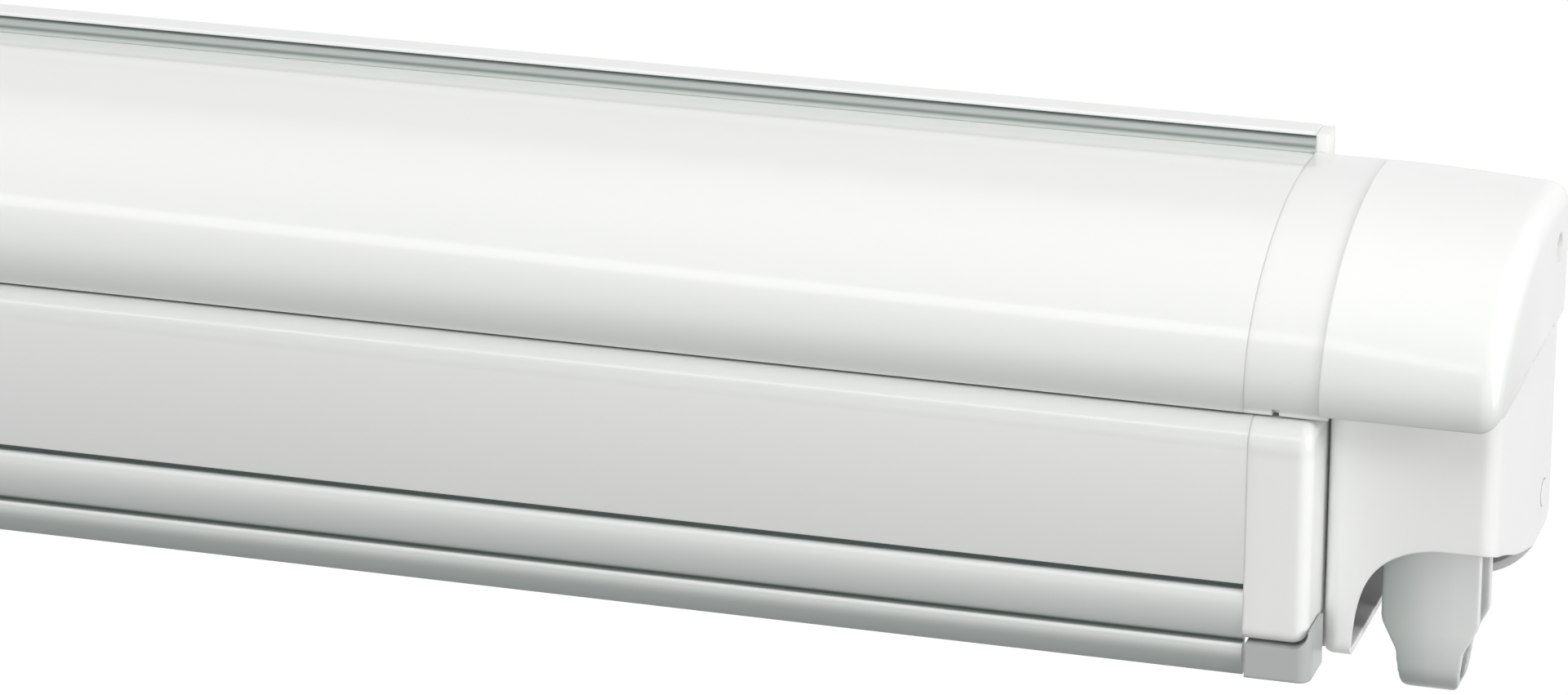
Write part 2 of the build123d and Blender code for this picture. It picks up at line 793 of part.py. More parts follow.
def tilt_pin():
    """Cross pin in a blind hole, closed by the eye's front wall."""
    front = eye_radius - eye_cover - body_clear
    rear = eye_radius - body_clear
    return rod_y(tilt_pin_radius, -worm_y() - front, -worm_y() + rear, bar_half + gear_x,
                 eye_pivot_z)


def long_ring(radius, low, top):
    """Face of an upright slot shape in (Y, Z) coordinates."""
    face = window(-radius, radius, low + radius, top - radius)
    face += Pos(0, low + radius) * Circle(radius)
    return face + Pos(0, top - radius) * Circle(radius)


def winch_eye():
    """Loop that the crank hook catches, open along X, with a slot above for the shaft."""
    ring = long_ring(eye_radius, eye_low_z, eye_top_z)
    inner = long_ring(eye_radius - eye_wall, eye_low_z + eye_wall, eye_top_z - eye_wall)
    part = along_x(ring - inner, -eye_half_width, eye_half_width)
    half = [(eye_half_width, eye_top_z), (eye_half_width, eye_shoulder_z),
            (eye_loop_half_width, eye_shoulder_z - eye_shoulder_drop),
            (eye_tip_half_width, eye_low_z)]
    points = half + [(-x, z) for x, z in reversed(half)]
    front = make_face(Polyline(*points, close=True))
    for spots, radius in ((half[:1], eye_top_round), (half[1:3], eye_shoulder_round),
                          (half[3:], eye_tip_round)):
        heights = [z for x, z in spots]
        near = [v for v in front.vertices() if min(abs(v.Y - z) for z in heights) < run_clear]
        front = fillet(near, radius)
    part &= extrude(Plane.XZ * front, amount=2 * eye_radius, both=True)
    rise = eye_top_z - eye_pivot_z
    angle = radians(eye_tilt)
    reach = rise * tan(angle) + worm_core_radius / sin(pi / 2 - angle) + body_clear
    width = worm_core_radius + body_clear
    part -= block(-reach, reach, -width, width, eye_pivot_z + tongue_low, 2 * eye_top_z)
    part -= rod_y(tilt_pin_radius + run_clear, eye_cover - eye_radius, 2 * eye_radius, 0, eye_pivot_z)
    return Pos(bar_half + gear_x, -worm_y(), 0) * part


def canopy_sheet():
    """Short stretch of fabric between the roll and the lead bar when the awning is closed."""
    points = [(-sheet_rear_y, sheet_rear_z), (-sheet_front_y, sheet_front_z),
              (-sheet_front_y, sheet_front_z + canopy_thick),
              (-sheet_rear_y, sheet_rear_z + canopy_thick)]
    return along_x(outline(points), -canopy_half, canopy_half)


def bar_face():
    """Section of the lead bar: a box above and the front wall with its slot below."""
    box = window(-bar_front, -bar_rear, bar_box_z, bar_top_z)
    top_front = box.vertices().sort_by(Axis.Y)[-1:] + box.vertices().sort_by(Axis.Y)[-2:-1]
    top_front = [v for v in top_front if v.X < -(bar_front + bar_rear) / 2]
    box = fillet(top_front, bar_round)
    hollow = window(bar_front_wall - bar_front, -bar_rear - bar_wall, bar_box_z + bar_wall,
                    bar_top_z - bar_wall)
    near = hollow.vertices().sort_by(Axis.Y)[-2:]
    near = [v for v in near if v.X < -(bar_front + bar_rear) / 2]
    face = box - fillet(near, bar_round - bar_wall)
    face += window(-bar_front, bar_front_wall - bar_front, bar_low_z, bar_top_z - bar_round)
    face += window(-bar_front, rib_depth - bar_front, rib_low_z, rib_top_z)
    return face


def bar_slot_cut():
    """Slot along the front with a rounded lower lip."""
    cut = window(-2 * bar_front, slot_depth - bar_front, slot_low_z, slot_top_z)
    lip = window(-2 * bar_front, slot_round - bar_front, slot_low_z - slot_round, slot_low_z)
    return cut + lip - Pos(slot_round - bar_front, slot_low_z - slot_round) * Circle(slot_round)


def lead_bar_profile():
    block_half = hem_block
    face = bar_face()
    face += window(-hem_y - block_half, -bar_rear, hem_z - block_half, hem_z + block_half)
    face -= Pos(-hem_y, hem_z) * Circle(hem_radius)
    face -= window(-hem_y, 0, hem_z - hem_mouth / 2, hem_z + hem_mouth / 2)
    face -= bar_slot_cut()
    return along_x(face, -bar_half, bar_half)


def canopy_hem_rod():
    return rod_x(hem_rod_radius, -canopy_half, canopy_half, -hem_y, hem_z)


def lower_rail():
    """Front rail under the lead bar with the tongue that slips behind its wall."""
    inner = bar_front - bar_front_wall - seat_clear
    points = [(-bar_front, rail_flat_z), (-bar_front, rail_gap_z), (-inner, rail_gap_z),
              (-inner, rail_tongue_top_z), (-rail_rear, rail_tongue_top_z), (-rail_rear, rail_low_z),
              (rail_bottom_in - bar_front, rail_low_z)]
    face = outline(points)
    upper = [v for v in face.vertices() if v.X < -bar_front + run_clear and v.Y > rail_flat_z]
    face = fillet(upper, round_edge)
    return along_x(face, -bar_half, bar_half)


def lead_bar_cap():
    """Cap on the lead bar's end with a plug in the box section."""
    part = block(0, bar_cap_out, -bar_front, -bar_rear, bar_low_z, bar_top_z)
    top = part.edges().filter_by(Axis.X).sort_by(Axis.Z)[-2:].sort_by(Axis.Y)[0:1]
    part = fillet(top, bar_round)
    low = part.edges().filter_by(Axis.Y).group_by(Axis.Z)[0].sort_by(Axis.X)[-1:]
    part = fillet(low, bar_cap_low_round)
    outer = part.edges().filter_by(Axis.Z).group_by(Axis.X)[-1].sort_by(Axis.Y)[0:1]
    part = fillet(outer, bar_cap_round)
    part -= block(-bar_cap_out, bar_cap_out - bar_wall, bar_wall * 2 - bar_front,
                  -bar_rear + bar_cap_out, bar_low_z - bar_wall, bar_box_z)
    inset = bar_wall + body_clear
    front = bar_front - bar_round - inset
    plug = block(-bar_cap_plug, 0, -front, -hem_y - hem_block - body_clear, bar_box_z + inset,
                 bar_top_z - inset)
    return Pos(bar_half, 0, 0) * (part + plug)


def corner_piece():
    """Moulded corner on the lower rail's end that cups the lead bar cap's lower corner."""
    part = block(corner_in, corner_out, -corner_front, -corner_rear, corner_low_z, corner_side_top_z)
    front = part.edges().filter_by(Axis.Z).group_by(Axis.X)[-1].sort_by(Axis.Y)[0:1]
    part = fillet(front, bar_cap_round)
    part += block(corner_out - bar_cap_round, corner_out, -corner_rear - round_edge,
                  -corner_side_rear, corner_low_z, corner_side_top_z)
    part = fillet(part.edges().filter_by(Axis.X).group_by(Axis.Y)[0].sort_by(Axis.Z)[0:1], round_edge)
    reach = bar_cap_out + body_clear
    cup = block(-bar_cap_out, reach, -2 * bar_front, 0, corner_top_z, 2 * corner_side_top_z)
    low = cup.edges().filter_by(Axis.Y).group_by(Axis.Z)[0].sort_by(Axis.X)[-1:]
    cup = fillet(low, bar_cap_low_round)
    return Pos(bar_half, 0, 0) * (part - cup)


def wrist_bracket():
    """Bracket on the lead bar's rear wall that holds the wrist pin."""
    low = arm_low_z - body_clear - lug_thick
    top = arm_top_z + body_clear + lug_thick
    plate_y = -bar_rear + bracket_plate
    part = block(shoulder_x - wrist_plate_half, shoulder_x + wrist_plate_half, -bar_rear, plate_y,
                 low, wrist_plate_top_z)
    for z in (low, top - lug_thick):
        part += lug(bracket_radius, shoulder_x, -wrist_y, z, z + lug_thick, plate_y, bracket_radius)
    return part - rod_z(arm_pin_radius, 0, 2 * top, shoulder_x, -wrist_y)


def leg_rise():
    """How much higher the left leg lies than the right one."""
    lever_low = lock_height / 2 + lever_pivot_drop + lever_thick / 2
    return lever_low + leg_pass + leg_height / 2


def leg_bracket(pivot_z):
    """Saddle under the box section with its cross pin."""
    top = bar_box_z - seat_clear
    half = leg_depth / 2 + body_clear
    outer = half + leg_plate
    part = block(leg_x - leg_bracket_half, leg_x + leg_bracket_half, -leg_y - outer, -leg_y + outer,
                 pivot_z - leg_plate_below, top)
    part -= block(0, 2 * leg_x, -leg_y - half, -leg_y + half, 0, top - leg_web)
    part -= rod_y(leg_pin_radius, -2 * bar_front, 0, leg_x, pivot_z)
    pin = rod_y(leg_pin_radius, -leg_y - outer, -leg_y + outer, leg_x, pivot_z)
    return [part, pin]


def tube_block(x0, x1, depth, height):
    return block(x0, x1, -leg_y - depth / 2, -leg_y + depth / 2, leg_z - height / 2,
                 leg_z + height / 2)


def leg_outer():
    """Outer leg tube with the knuckle at its pivot end."""
    end = leg_x - leg_length
    part = tube_block(end, leg_x, leg_depth, leg_height)
    part += rod_y(leg_height / 2, -leg_y - leg_depth / 2, -leg_y + leg_depth / 2, leg_x, leg_z)
    inner = 2 * leg_wall
    part -= tube_block(end - leg_wall, leg_x - leg_knuckle_length, leg_depth - inner,
                       leg_height - inner)
    return part - rod_y(leg_pin_radius + run_clear, -bar_front, 0, leg_x, leg_z)


def leg_inner():
    """Inner leg tube with the tongue that carries the foot."""
    x0 = leg_x - leg_inner_end
    x1 = leg_x - leg_inner_start
    depth = leg_depth - 2 * leg_wall - slide_clear
    height = leg_height - 2 * leg_wall - slide_clear
    pivot = leg_x - foot_pivot
    part = tube_block(x0, x1, depth, height)
    part -= tube_block(x0 + 2 * leg_wall, 2 * leg_x, depth - 2 * leg_wall, height - 2 * leg_wall)
    part += block(pivot, x0, -leg_y - foot_tongue_half, -leg_y + foot_tongue_half,
                  leg_z - foot_ear_radius, leg_z + foot_ear_radius)
    part += rod_y(foot_ear_radius, -leg_y - foot_tongue_half, -leg_y + foot_tongue_half, pivot, leg_z)
    return part - rod_y(foot_pin_radius + run_clear, -bar_front, 0, pivot, leg_z)


def lock_collar():
    """Collar on the end of the outer tube with two ears for the lever."""
    end = leg_x - leg_length
    part = tube_block(end - round_edge * 2, end + lock_length, lock_depth, lock_height)
    part -= tube_block(end, end + 2 * lock_length, leg_depth, leg_height)
    opening = slide_clear + 2 * leg_wall
    part -= tube_block(end - lock_length, end + lock_length, leg_depth - opening + slide_clear,
                       leg_height - opening + slide_clear)
    low = leg_z - lock_height / 2
    pivot_x = end + lever_inset
    for side in (-1, 1):
        near = side * (lever_width / 2 + body_clear)
        far = side * lock_depth / 2
        ear = block(pivot_x - lever_thick, pivot_x + lever_thick, -leg_y + near, -leg_y + far,
                    low - lever_pivot_drop - lever_thick / 2, low)
        part += ear
    part -= rod_y(lever_pin_radius, -bar_front, 0, pivot_x, low - lever_pivot_drop + lever_thick / 4)
    return part


def lock_lever():
    """Cam lever under the collar; it swings down to free the inner tube."""
    end = leg_x - leg_length
    low = leg_z - lock_height / 2
    x = end + lever_inset
    z = low - lever_pivot_drop + lever_thick / 4
    half = lever_width / 2
    part = block(x, x + lever_length, -leg_y - half, -leg_y + half, z - lever_thick / 2,
                 z + lever_thick / 2)
    part += rod_y(lever_thick / 2, -leg_y - half, -leg_y + half, x, z)
    return part + rod_y(lever_pin_radius - run_clear, -leg_y - lock_depth / 2, -leg_y
                        + lock_depth / 2, x, z)


def leg_foot():
    """Swivelling foot with two ears and its pin."""
    pivot = leg_x - foot_pivot
    half = foot_tongue_half + body_clear
    outer = half + foot_ear
    part = block(pivot - foot_base_end, pivot - foot_base_start, -leg_y - outer, -leg_y + outer,
                 leg_z - foot_base_height / 2, leg_z + foot_base_height / 2)
    ears = block(pivot - foot_base_start, pivot, -leg_y - outer, -leg_y + outer,
                 leg_z - foot_ear_radius, leg_z + foot_ear_radius)
    ears += rod_y(foot_ear_radius, -leg_y - outer, -leg_y + outer, pivot, leg_z)
    ears -= block(pivot - foot_ear_radius - round_edge, pivot + 2 * foot_ear_radius, -leg_y - half,
                  -leg_y + half, 0, 2 * leg_z)
    part += ears
    return part + rod_y(foot_pin_radius, -leg_y - outer, -leg_y + outer, pivot, leg_z)


def write_pair(name, part):
    """Write the right-hand part and its mirror image."""
    items = part if isinstance(part, list) else [part]
    write("right_" + name, items)
    write("left_" + name, [mirrored(item) for item in items])


def write_case():
    write("case_back", case_back())
    write("case_hood", case_hood())
    write("hood_seal", hood_seal())
    write_pair("end_cap", end_cap())
    write_pair("end_frame", end_frame())
    write("gearbox_housing", gearbox_housing())
    write("gearbox_cover", gearbox_cover())
    write("gearbox_screws", gearbox_screws())
    write("drive_bush", shaft_bush(frame_thick - case_gap + housing_wall))
    write("idle_bush", mirrored(shaft_bush(frame_thick - case_gap)))
    write("end_cap_screws", end_cap_screws())
    write("case_screws", case_screws())
    write_pair("shoulder_bracket", shoulder_bracket())
    pin = bracket_pin(shoulder_x, -shoulder_y)
    write("shoulder_pins", [pin, mirrored(pin)])


def write_roller():
    write("roller_tube", roller_tube())
    write("canopy_roll", canopy_roll())
    write("drive_plug", roller_plug(gear_x + 2 * gear_half_width))
    write("idle_plug", mirrored(roller_plug(frame_thick)))
    write("worm_wheel", worm_wheel())
    write("worm_shaft", worm_shaft())
    write("tilt_pin", tilt_pin())
    write("winch_eye", winch_eye())
    write("canopy_sheet", canopy_sheet())


def write_arms():
    write_pair("upper_arm_tube", arm_tube(-upper_mid_y))
    write_pair("shoulder_knuckle", end_knuckle(-shoulder_y, -upper_mid_y))
    write_pair("elbow_fork", elbow_fork())
    write_pair("elbow_pin", arm_pin(elbow_x, -elbow_y, arm_low_z, arm_top_z))
    write_pair("forearm_tube", arm_tube(-fore_mid_y))
    write_pair("elbow_knuckle", elbow_tongue())
    write_pair("wrist_knuckle", end_knuckle(-wrist_y, -fore_mid_y))


def write_lead_bar():
    write("lead_bar_profile", lead_bar_profile())
    write("lower_rail", lower_rail())
    write("canopy_hem_rod", canopy_hem_rod())
    write_pair("lead_bar_cap", lead_bar_cap())
    write_pair("corner_piece", corner_piece())
    bracket = wrist_bracket()
    write("wrist_brackets", [bracket, mirrored(bracket)])
    pin = bracket_pin(shoulder_x, -wrist_y)
    write("wrist_pins", [pin, mirrored(pin)])
    raised = leg_bracket(leg_z + leg_rise())
    write("leg_brackets", leg_bracket(leg_z) + [mirrored(item) for item in raised])


def write_leg_pair(name, part):
    write("right_" + name, part)
    write("left_" + name, Pos(0, 0, leg_rise()) * mirrored(part))


def write_legs():
    write_leg_pair("leg_outer_tube", leg_outer())
    write_leg_pair("leg_inner_tube", leg_inner())
    write_leg_pair("leg_lock_collar", lock_collar())
    write_leg_pair("leg_lock_lever", lock_lever())
    write_leg_pair("leg_foot", leg_foot())


write_case()
write_roller()
write_arms()
write_lead_bar()
write_legs()
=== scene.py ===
import json
import math

import bmesh
import bpy
from mathutils import Matrix, Vector


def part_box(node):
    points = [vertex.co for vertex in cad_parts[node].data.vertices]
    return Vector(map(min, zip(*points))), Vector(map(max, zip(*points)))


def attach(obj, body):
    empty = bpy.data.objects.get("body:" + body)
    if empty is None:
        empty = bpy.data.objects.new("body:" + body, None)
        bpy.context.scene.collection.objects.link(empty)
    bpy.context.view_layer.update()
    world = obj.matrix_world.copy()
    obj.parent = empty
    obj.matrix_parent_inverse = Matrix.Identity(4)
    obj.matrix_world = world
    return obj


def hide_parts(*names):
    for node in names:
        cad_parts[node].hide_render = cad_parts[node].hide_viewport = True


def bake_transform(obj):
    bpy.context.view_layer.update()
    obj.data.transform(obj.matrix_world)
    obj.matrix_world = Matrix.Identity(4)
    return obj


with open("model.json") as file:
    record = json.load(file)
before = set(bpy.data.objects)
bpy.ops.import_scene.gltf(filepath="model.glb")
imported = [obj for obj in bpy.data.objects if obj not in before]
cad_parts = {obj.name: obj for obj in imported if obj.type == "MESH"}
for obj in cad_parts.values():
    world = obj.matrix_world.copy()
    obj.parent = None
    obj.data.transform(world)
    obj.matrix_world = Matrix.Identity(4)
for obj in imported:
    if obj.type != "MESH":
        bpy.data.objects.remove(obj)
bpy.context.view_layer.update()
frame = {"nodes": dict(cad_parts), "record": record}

# Roll out awning, closed in its wall case. The sizes and places of pieces are in millimetres.
# Lamps, camera, floor and the lengths that shaders take are in metres. Y is 0 at the wall and
# falls towards the front. Heights count from a level FACE_HEIGHT below the frame's origin, close
# to the underside of the lower rail.
MM = 0.001
FACE_HEIGHT = 70.0
WELD_GAP = 0.001           # points closer than this become one


def half_length(node):
    """Half the length of a node that lies evenly about mid-length, to a tenth of a millimetre."""
    return round(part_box(node)[1][0] / MM, 1)


# Lengths, from the frame
CASE_HALF = half_length("case_hood")
BAR_HALF = half_length("lead_bar_profile")
CANOPY_HALF = half_length("canopy_sheet")

# Hood
HOOD_DEPTH = 98.0
HOOD_REAR_Y = 12.0
HOOD_REAR_TOP = 129.0
HOOD_EDGE = 77.6
HOOD_WALL = 1.6
HOOD_SHARES = [(0.0, 1.0), (0.2, 1.0), (0.384, 0.962), (0.58, 0.87), (0.74, 0.74), (0.88, 0.56),
               (0.965, 0.36), (1.0, 0.17), (0.985, 0.0)]
HOOD_SPAN_STEPS = 10
HOOD_LIP = [(97.0, 0.15), (96.2, -0.05), (95.2, 0.1)]     # depth, and height over the edge

# Back of the case with the hook rail
WALL = 2.0
BACK_LOW = 2.0
BACK_EDGE = 0.4
RAIL_TOP = 135.4
RAIL_LIP_DEPTH = 9.0
RAIL_LIP_THICK = 1.2
RAIL_LIP_EDGE = 0.5
RAIL_UNDER_EDGE = 0.3
GROOVE_Y = 5.8
GROOVE_RADIUS = 3.2
GROOVE_ANGLES = (100.0, 234.0)
GROOVE_STEPS = 16
LEDGE_TOP = 128.4
LEDGE_REAR_Y = 7.9
LEDGE_FRONT_Y = 11.9
LEDGE_THICK = 4.7
LEDGE_EDGE = 0.3
FLOOR_DEPTH = 70.0
FLOOR_LIP_DROP = 1.5

# Lead bar
BAR_FRONT = 104.0
BAR_REAR = 80.0
BAR_TOP = 77.0
BAR_LOW = 10.0
BAR_BOX_LOW = 52.0
BAR_WALL = 1.8
BAR_FRONT_WALL = 2.2
BAR_ROUND = 8.0
BAR_ROUND_STEPS = 14
BAR_HOLLOW_ROUND = 6.0
BAR_HOLLOW_STEPS = 8
BAR_REAR_EDGE = 0.6
HEM_Y = 83.6
HEM_HEIGHT = 66.0
HEM_RADIUS = 2.9
HEM_BLOCK = 4.4
HEM_MOUTH_HALF = 1.1
HEM_MOUTH_DEPTH = 2.2
HEM_MOUTH_ANGLE = 22.0
HEM_STEPS = 20
SLOT_LOW = 25.6
SLOT_TOP = 27.6
SLOT_DEPTH = 2.8
SLOT_EDGE_DEPTH = 0.4
SLOT_EDGE_RISE = 0.8
SLOT_ROUND = 2.5
SLOT_ROUND_END = 165.0
SLOT_ROUND_STEPS = 8
RIB_LOW = 20.0
RIB_TOP = 33.0
RIB_DEPTH = 4.4
LIP_FALL = [(0.0, 21.0), (0.1, 19.0), (0.35, 16.5), (0.7, 14.0), (1.05, 12.0), (1.4, 10.6),
            (1.8, 10.0)]                                  # depth behind the front, and height

# Lower rail
STRIP_LOW = -1.2
STRIP_FLAT = 5.0
STRIP_TOP = 9.0
STRIP_ROUND = 1.4
STRIP_ROUND_STEPS = 6
STRIP_BOTTOM_IN = 2.0
STRIP_REAR = 99.8
STRIP_EDGE = 0.3
TONGUE_FRONT = 101.7
TONGUE_TOP = 18.0

# Roller and canopy
ROLLER_Y = 38.8
ROLLER_HEIGHT = 90.0
ROLL_TURNS = 12
ROLL_INNER = 22.52
ROLL_OUTER = 29.95
ROLL_TURN_STEPS = 48
LAYER_SHARE = 0.86         # how much of the spiral's pitch the fabric fills
CLOTH_THICK = 0.6
SHEET_REAR = (-43.0, 59.8)
SHEET_FRONT = (-80.6, 66.3)
SHEET_ACROSS = 60
SHEET_ALONG = 40

# Winch eye and end caps
EYE_VOXEL = 0.45
EYE_SMOOTHING = 8
EYE_SMOOTH_SHARE = 0.5
CAP_GROOVE_SUNK = (0.5, 1.3)
CAP_GROOVE_Y = (-62.0, -15.0)
CAP_GROOVE_HEIGHTS = (84.0, 103.2)

# Shading: strength of the grain, depth of the soft scatter in metres, noise scale of the
# # roughness beside that of the tone, and the Y between which the caps' painted shade sets in
GRAIN_STRENGTH = 0.6
SCATTER_DEPTH = 0.004
ROUGH_PATCHES = 3.0
CAP_PAINTED_SHADE_FADE = (-35.0, -85.0)
THREAD_SCALE = 520.0
BEVEL_SAMPLES = 4

# Shading angles in degrees, above which an edge stays sharp
SHARP_ANGLE = 32.0
ROLL_SHARP_ANGLE = 50.0
EYE_SHARP_ANGLE = 70.0

# Camera, fitted to the photograph of 1920 by 851 pixels
PHOTO_WIDTH = 1920.0
FOCAL_PIXELS = 7500.0
SENSOR_WIDTH = 36.0
CAMERA_PLACE = (1.599, -1.712, 0.615)
CAMERA_DOWN = 19.6
CAMERA_TURN = 17.2
CAMERA_NEAR = 0.05
CAMERA_FAR = 100.0

# Lamps: name, place, what it points at, size, watts, and whether the coats mirror it
BODY_MIDDLE = (0.95, -0.06, 0.0)
RIGHT_END = (1.25, -0.06, 0.0)
LEFT_END = (-1.25, -0.06, 0.0)
LAMPS = [("overhead", (1.35, -0.85, 1.9), BODY_MIDDLE, (2.0, 1.4), 15.5, False),
         ("side", (3.6, -0.6, 0.7), RIGHT_END, (1.2, 1.6), 44.0, True),
         ("front", (1.7, -3.3, 0.4), (1.05, -0.06, 0.0), (2.8, 1.4), 42.5, False),
         ("streak", (-0.1, -1.9, 2.3), BODY_MIDDLE, (2.6, 0.42), 10.5, True),
         ("behind", (0.6, 0.9, 2.4), BODY_MIDDLE, (3.0, 1.2), 10.5, False),
         ("rear", (-0.2, 3.4, 0.3), (0.0, 0.0, 0.0), (3.0, 1.6), 40.0, False),
         ("left", (-3.9, -0.35, 0.6), LEFT_END, (1.2, 1.6), 45.0, False)]

# Surroundings and floor, which lies below the feet of the lowered legs
AMBIENT = 0.28
SEEN_WHITE = 1.0
FLOOR_HALF = 30.0
FLOOR_Z = -2.2
FLOOR_GREY = (0.34, 0.345, 0.34, 1.0)
FLOOR_GLOW = 1.16
FLOOR_GLOW_SHARE = 0.85


def z_of(height):
    """A height in millimetres to the frame's Z in metres."""
    return (height - FACE_HEIGHT) * MM


# Shader nodes

def add_node(tree, kind, values=None, links=None, **settings):
    """A node with its settings, then its constants and its links by input name."""
    node = tree.nodes.new(kind)
    for name, value in settings.items():
        setattr(node, name, value)
    for name, value in (values or {}).items():
        node.inputs[name].default_value = value
    for name, output in (links or {}).items():
        tree.links.new(output, node.inputs[name])
    return node


def new_material(name):
    """A material that holds only a Principled shader."""
    mat = bpy.data.materials.new(name)
    mat.use_nodes = True
    tree = mat.node_tree
    tree.nodes.clear()
    shader = add_node(tree, "ShaderNodeBsdfPrincipled")
    add_node(tree, "ShaderNodeOutputMaterial", links={"Surface": shader.outputs["BSDF"]})
    return mat, tree, shader


def object_place(tree):
    """Places in the object's own coordinates, in metres."""
    return add_node(tree, "ShaderNodeTexCoord").outputs["Object"]


def place_along(tree, axis):
    """One coordinate of the place, X, Y or Z."""
    parts = add_node(tree, "ShaderNodeSeparateXYZ", links={"Vector": object_place(tree)})
    return parts.outputs[axis]


def noise(tree, scale, detail=3.0, stretch=None):
    """Noise over the object, stretched along an axis where that is given."""
    source = object_place(tree)
    if stretch:
        mapping = add_node(tree, "ShaderNodeMapping", {"Scale": stretch}, {"Vector": source})
        source = mapping.outputs["Vector"]
    cloud = add_node(tree, "ShaderNodeTexNoise", {"Scale": scale, "Detail": detail},
                     {"Vector": source})
    return cloud.outputs["Fac"]


def spread(tree, value, low, high):
    """The usual span of the noise, 0.2 to 0.8, brought to low and high."""
    span = {"From Min": 0.2, "From Max": 0.8, "To Min": low, "To Max": high}
    return add_node(tree, "ShaderNodeMapRange", span, {"Value": value}).outputs["Result"]


def blend_colour(tree, factor, one, two):
    """A colour between two, by the factor."""
    mix = add_node(tree, "ShaderNodeMix", {"A": (*one, 1.0), "B": (*two, 1.0)},
                   {"Factor": factor}, data_type="RGBA")
    return mix.outputs["Result"]


def bump(tree, shader, height, strength, distance, edge=0.0):
    """A fine relief in the normal, with edges softened by a radius where that is given."""
    relief = add_node(tree, "ShaderNodeBump", {"Strength": strength, "Distance": distance},
                      {"Height": height})
    if edge:
        soft = add_node(tree, "ShaderNodeBevel", {"Radius": edge}, samples=BEVEL_SAMPLES)
        tree.links.new(soft.outputs["Normal"], relief.inputs["Normal"])
    tree.links.new(relief.outputs["Normal"], shader.inputs["Normal"])


def painted_shade_along(tree, stops, axis):
    """Painted shade: a colour by height where the axis is Z, or else by X or Y, that stands in for
    light and shade; the stops are in millimetres.
    """
    low, high = stops[0][0], stops[-1][0]
    start, end = (z_of(low), z_of(high)) if axis == "Z" else (low * MM, high * MM)
    share = add_node(tree, "ShaderNodeMapRange", {"From Min": start, "From Max": end},
                     {"Value": place_along(tree, axis)})
    ramp = add_node(tree, "ShaderNodeValToRGB", links={"Fac": share.outputs["Result"]})
    band = ramp.color_ramp
    while len(band.elements) < len(stops):
        band.elements.new(0.5)
    for element, (place, colour) in zip(band.elements, stops):
        element.position = (place - low) / (high - low)
        element.color = (*colour, 1.0)
    return ramp.outputs["Color"]


def painted_shade_front_share(tree):
    """One at the front of the case, falling to zero towards the wall: how much of the painted
    shade a look takes.
    """
    start, end = (y * MM for y in CAP_PAINTED_SHADE_FADE)
    share = add_node(tree, "ShaderNodeMapRange", {"From Min": start, "From Max": end},
                     {"Value": place_along(tree, "Y")})
    return share.outputs["Result"]


def finish_surface(name, tones, rough, uneven, patches, grain, relief, metallic=0.0, stretch=None,
                   coat=0.0, coat_rough=0.1, edge=0.0, deep=0.0, painted_shades=(), painted_shade_front_only=False):
    """A colour that varies slowly between two tones, uneven roughness and a fine grain.

    Each of the painted shades is an axis with its stops, which multiply the colour along it to
    paint light and shade into it."""
    mat, tree, shader = new_material(name)
    tone = blend_colour(tree, noise(tree, patches, 4.0), *tones)
    for axis, stops in painted_shades:
        # Multiply the colour by a painted shade along the axis
        mix = add_node(tree, "ShaderNodeMix", {"Factor": 1.0},
                       {"A": tone, "B": painted_shade_along(tree, stops, axis)},
                       data_type="RGBA", blend_type="MULTIPLY")
        # Painted shade only towards the front, so the backs of the caps stay unshaded
        if painted_shade_front_only:
            tree.links.new(painted_shade_front_share(tree), mix.inputs["Factor"])
        tone = mix.outputs["Result"]
    tree.links.new(tone, shader.inputs["Base Color"])
    cloud = noise(tree, patches * ROUGH_PATCHES, 5.0)
    tree.links.new(spread(tree, cloud, rough - uneven, rough + uneven),
                   shader.inputs["Roughness"])
    shader.inputs["Metallic"].default_value = metallic
    shader.inputs["Coat Weight"].default_value = coat
    shader.inputs["Coat Roughness"].default_value = coat_rough
    shader.inputs["Subsurface Weight"].default_value = deep
    shader.inputs["Subsurface Radius"].default_value = (1.0, 1.0, 1.0)
    shader.inputs["Subsurface Scale"].default_value = SCATTER_DEPTH
    bump(tree, shader, noise(tree, grain, 2.0, stretch), GRAIN_STRENGTH, relief, edge)
    return mat


def canopy_cloth():
    """Coated awning cloth: plain weave, soft sheen, slow tone changes."""
    mat, tree, shader = new_material("canopy_fabric")
    threads = []
    for direction in ("X", "Y"):
        wave = add_node(tree, "ShaderNodeTexWave", {"Scale": THREAD_SCALE, "Distortion": 0.4},
                        {"Vector": object_place(tree)}, wave_type="BANDS",
                        bands_direction=direction)
        threads.append(wave.outputs["Fac"])
    weave = add_node(tree, "ShaderNodeMath", operation="MULTIPLY")
    tree.links.new(threads[0], weave.inputs[0])
    tree.links.new(threads[1], weave.inputs[1])
    tone = add_node(tree, "ShaderNodeMath", operation="MULTIPLY_ADD")
    tone.inputs[1].default_value = 0.35
    tree.links.new(weave.outputs[0], tone.inputs[0])
    tree.links.new(spread(tree, noise(tree, 5.0, 5.0), 0.0, 0.6), tone.inputs[2])
    tree.links.new(blend_colour(tree, tone.outputs[0], (0.36, 0.38, 0.41), (0.5, 0.52, 0.55)),
                   shader.inputs["Base Color"])
    tree.links.new(spread(tree, noise(tree, 30.0), 0.62, 0.78), shader.inputs["Roughness"])
    shader.inputs["Sheen Weight"].default_value = 0.25
    bump(tree, shader, weave.outputs[0], 0.35, 0.0002)
    return mat


# Looks that several pieces share
NONE = (1.0, 1.0, 1.0)
WHITE = ((0.795, 0.808, 0.792), (0.815, 0.825, 0.81))
PLASTIC_WHITE = ((0.81, 0.822, 0.805), (0.835, 0.843, 0.827))
COATED = dict(rough=0.34, uneven=0.04, patches=5.0, grain=900.0, relief=0.00002, coat=0.6,
              coat_rough=0.07)
PLASTIC = dict(rough=0.32, uneven=0.05, patches=10.0, grain=1500.0, relief=0.00002, coat=0.45,
               coat_rough=0.1, edge=0.0008)
ALONG_TUBE = (0.05, 1.0, 1.0)

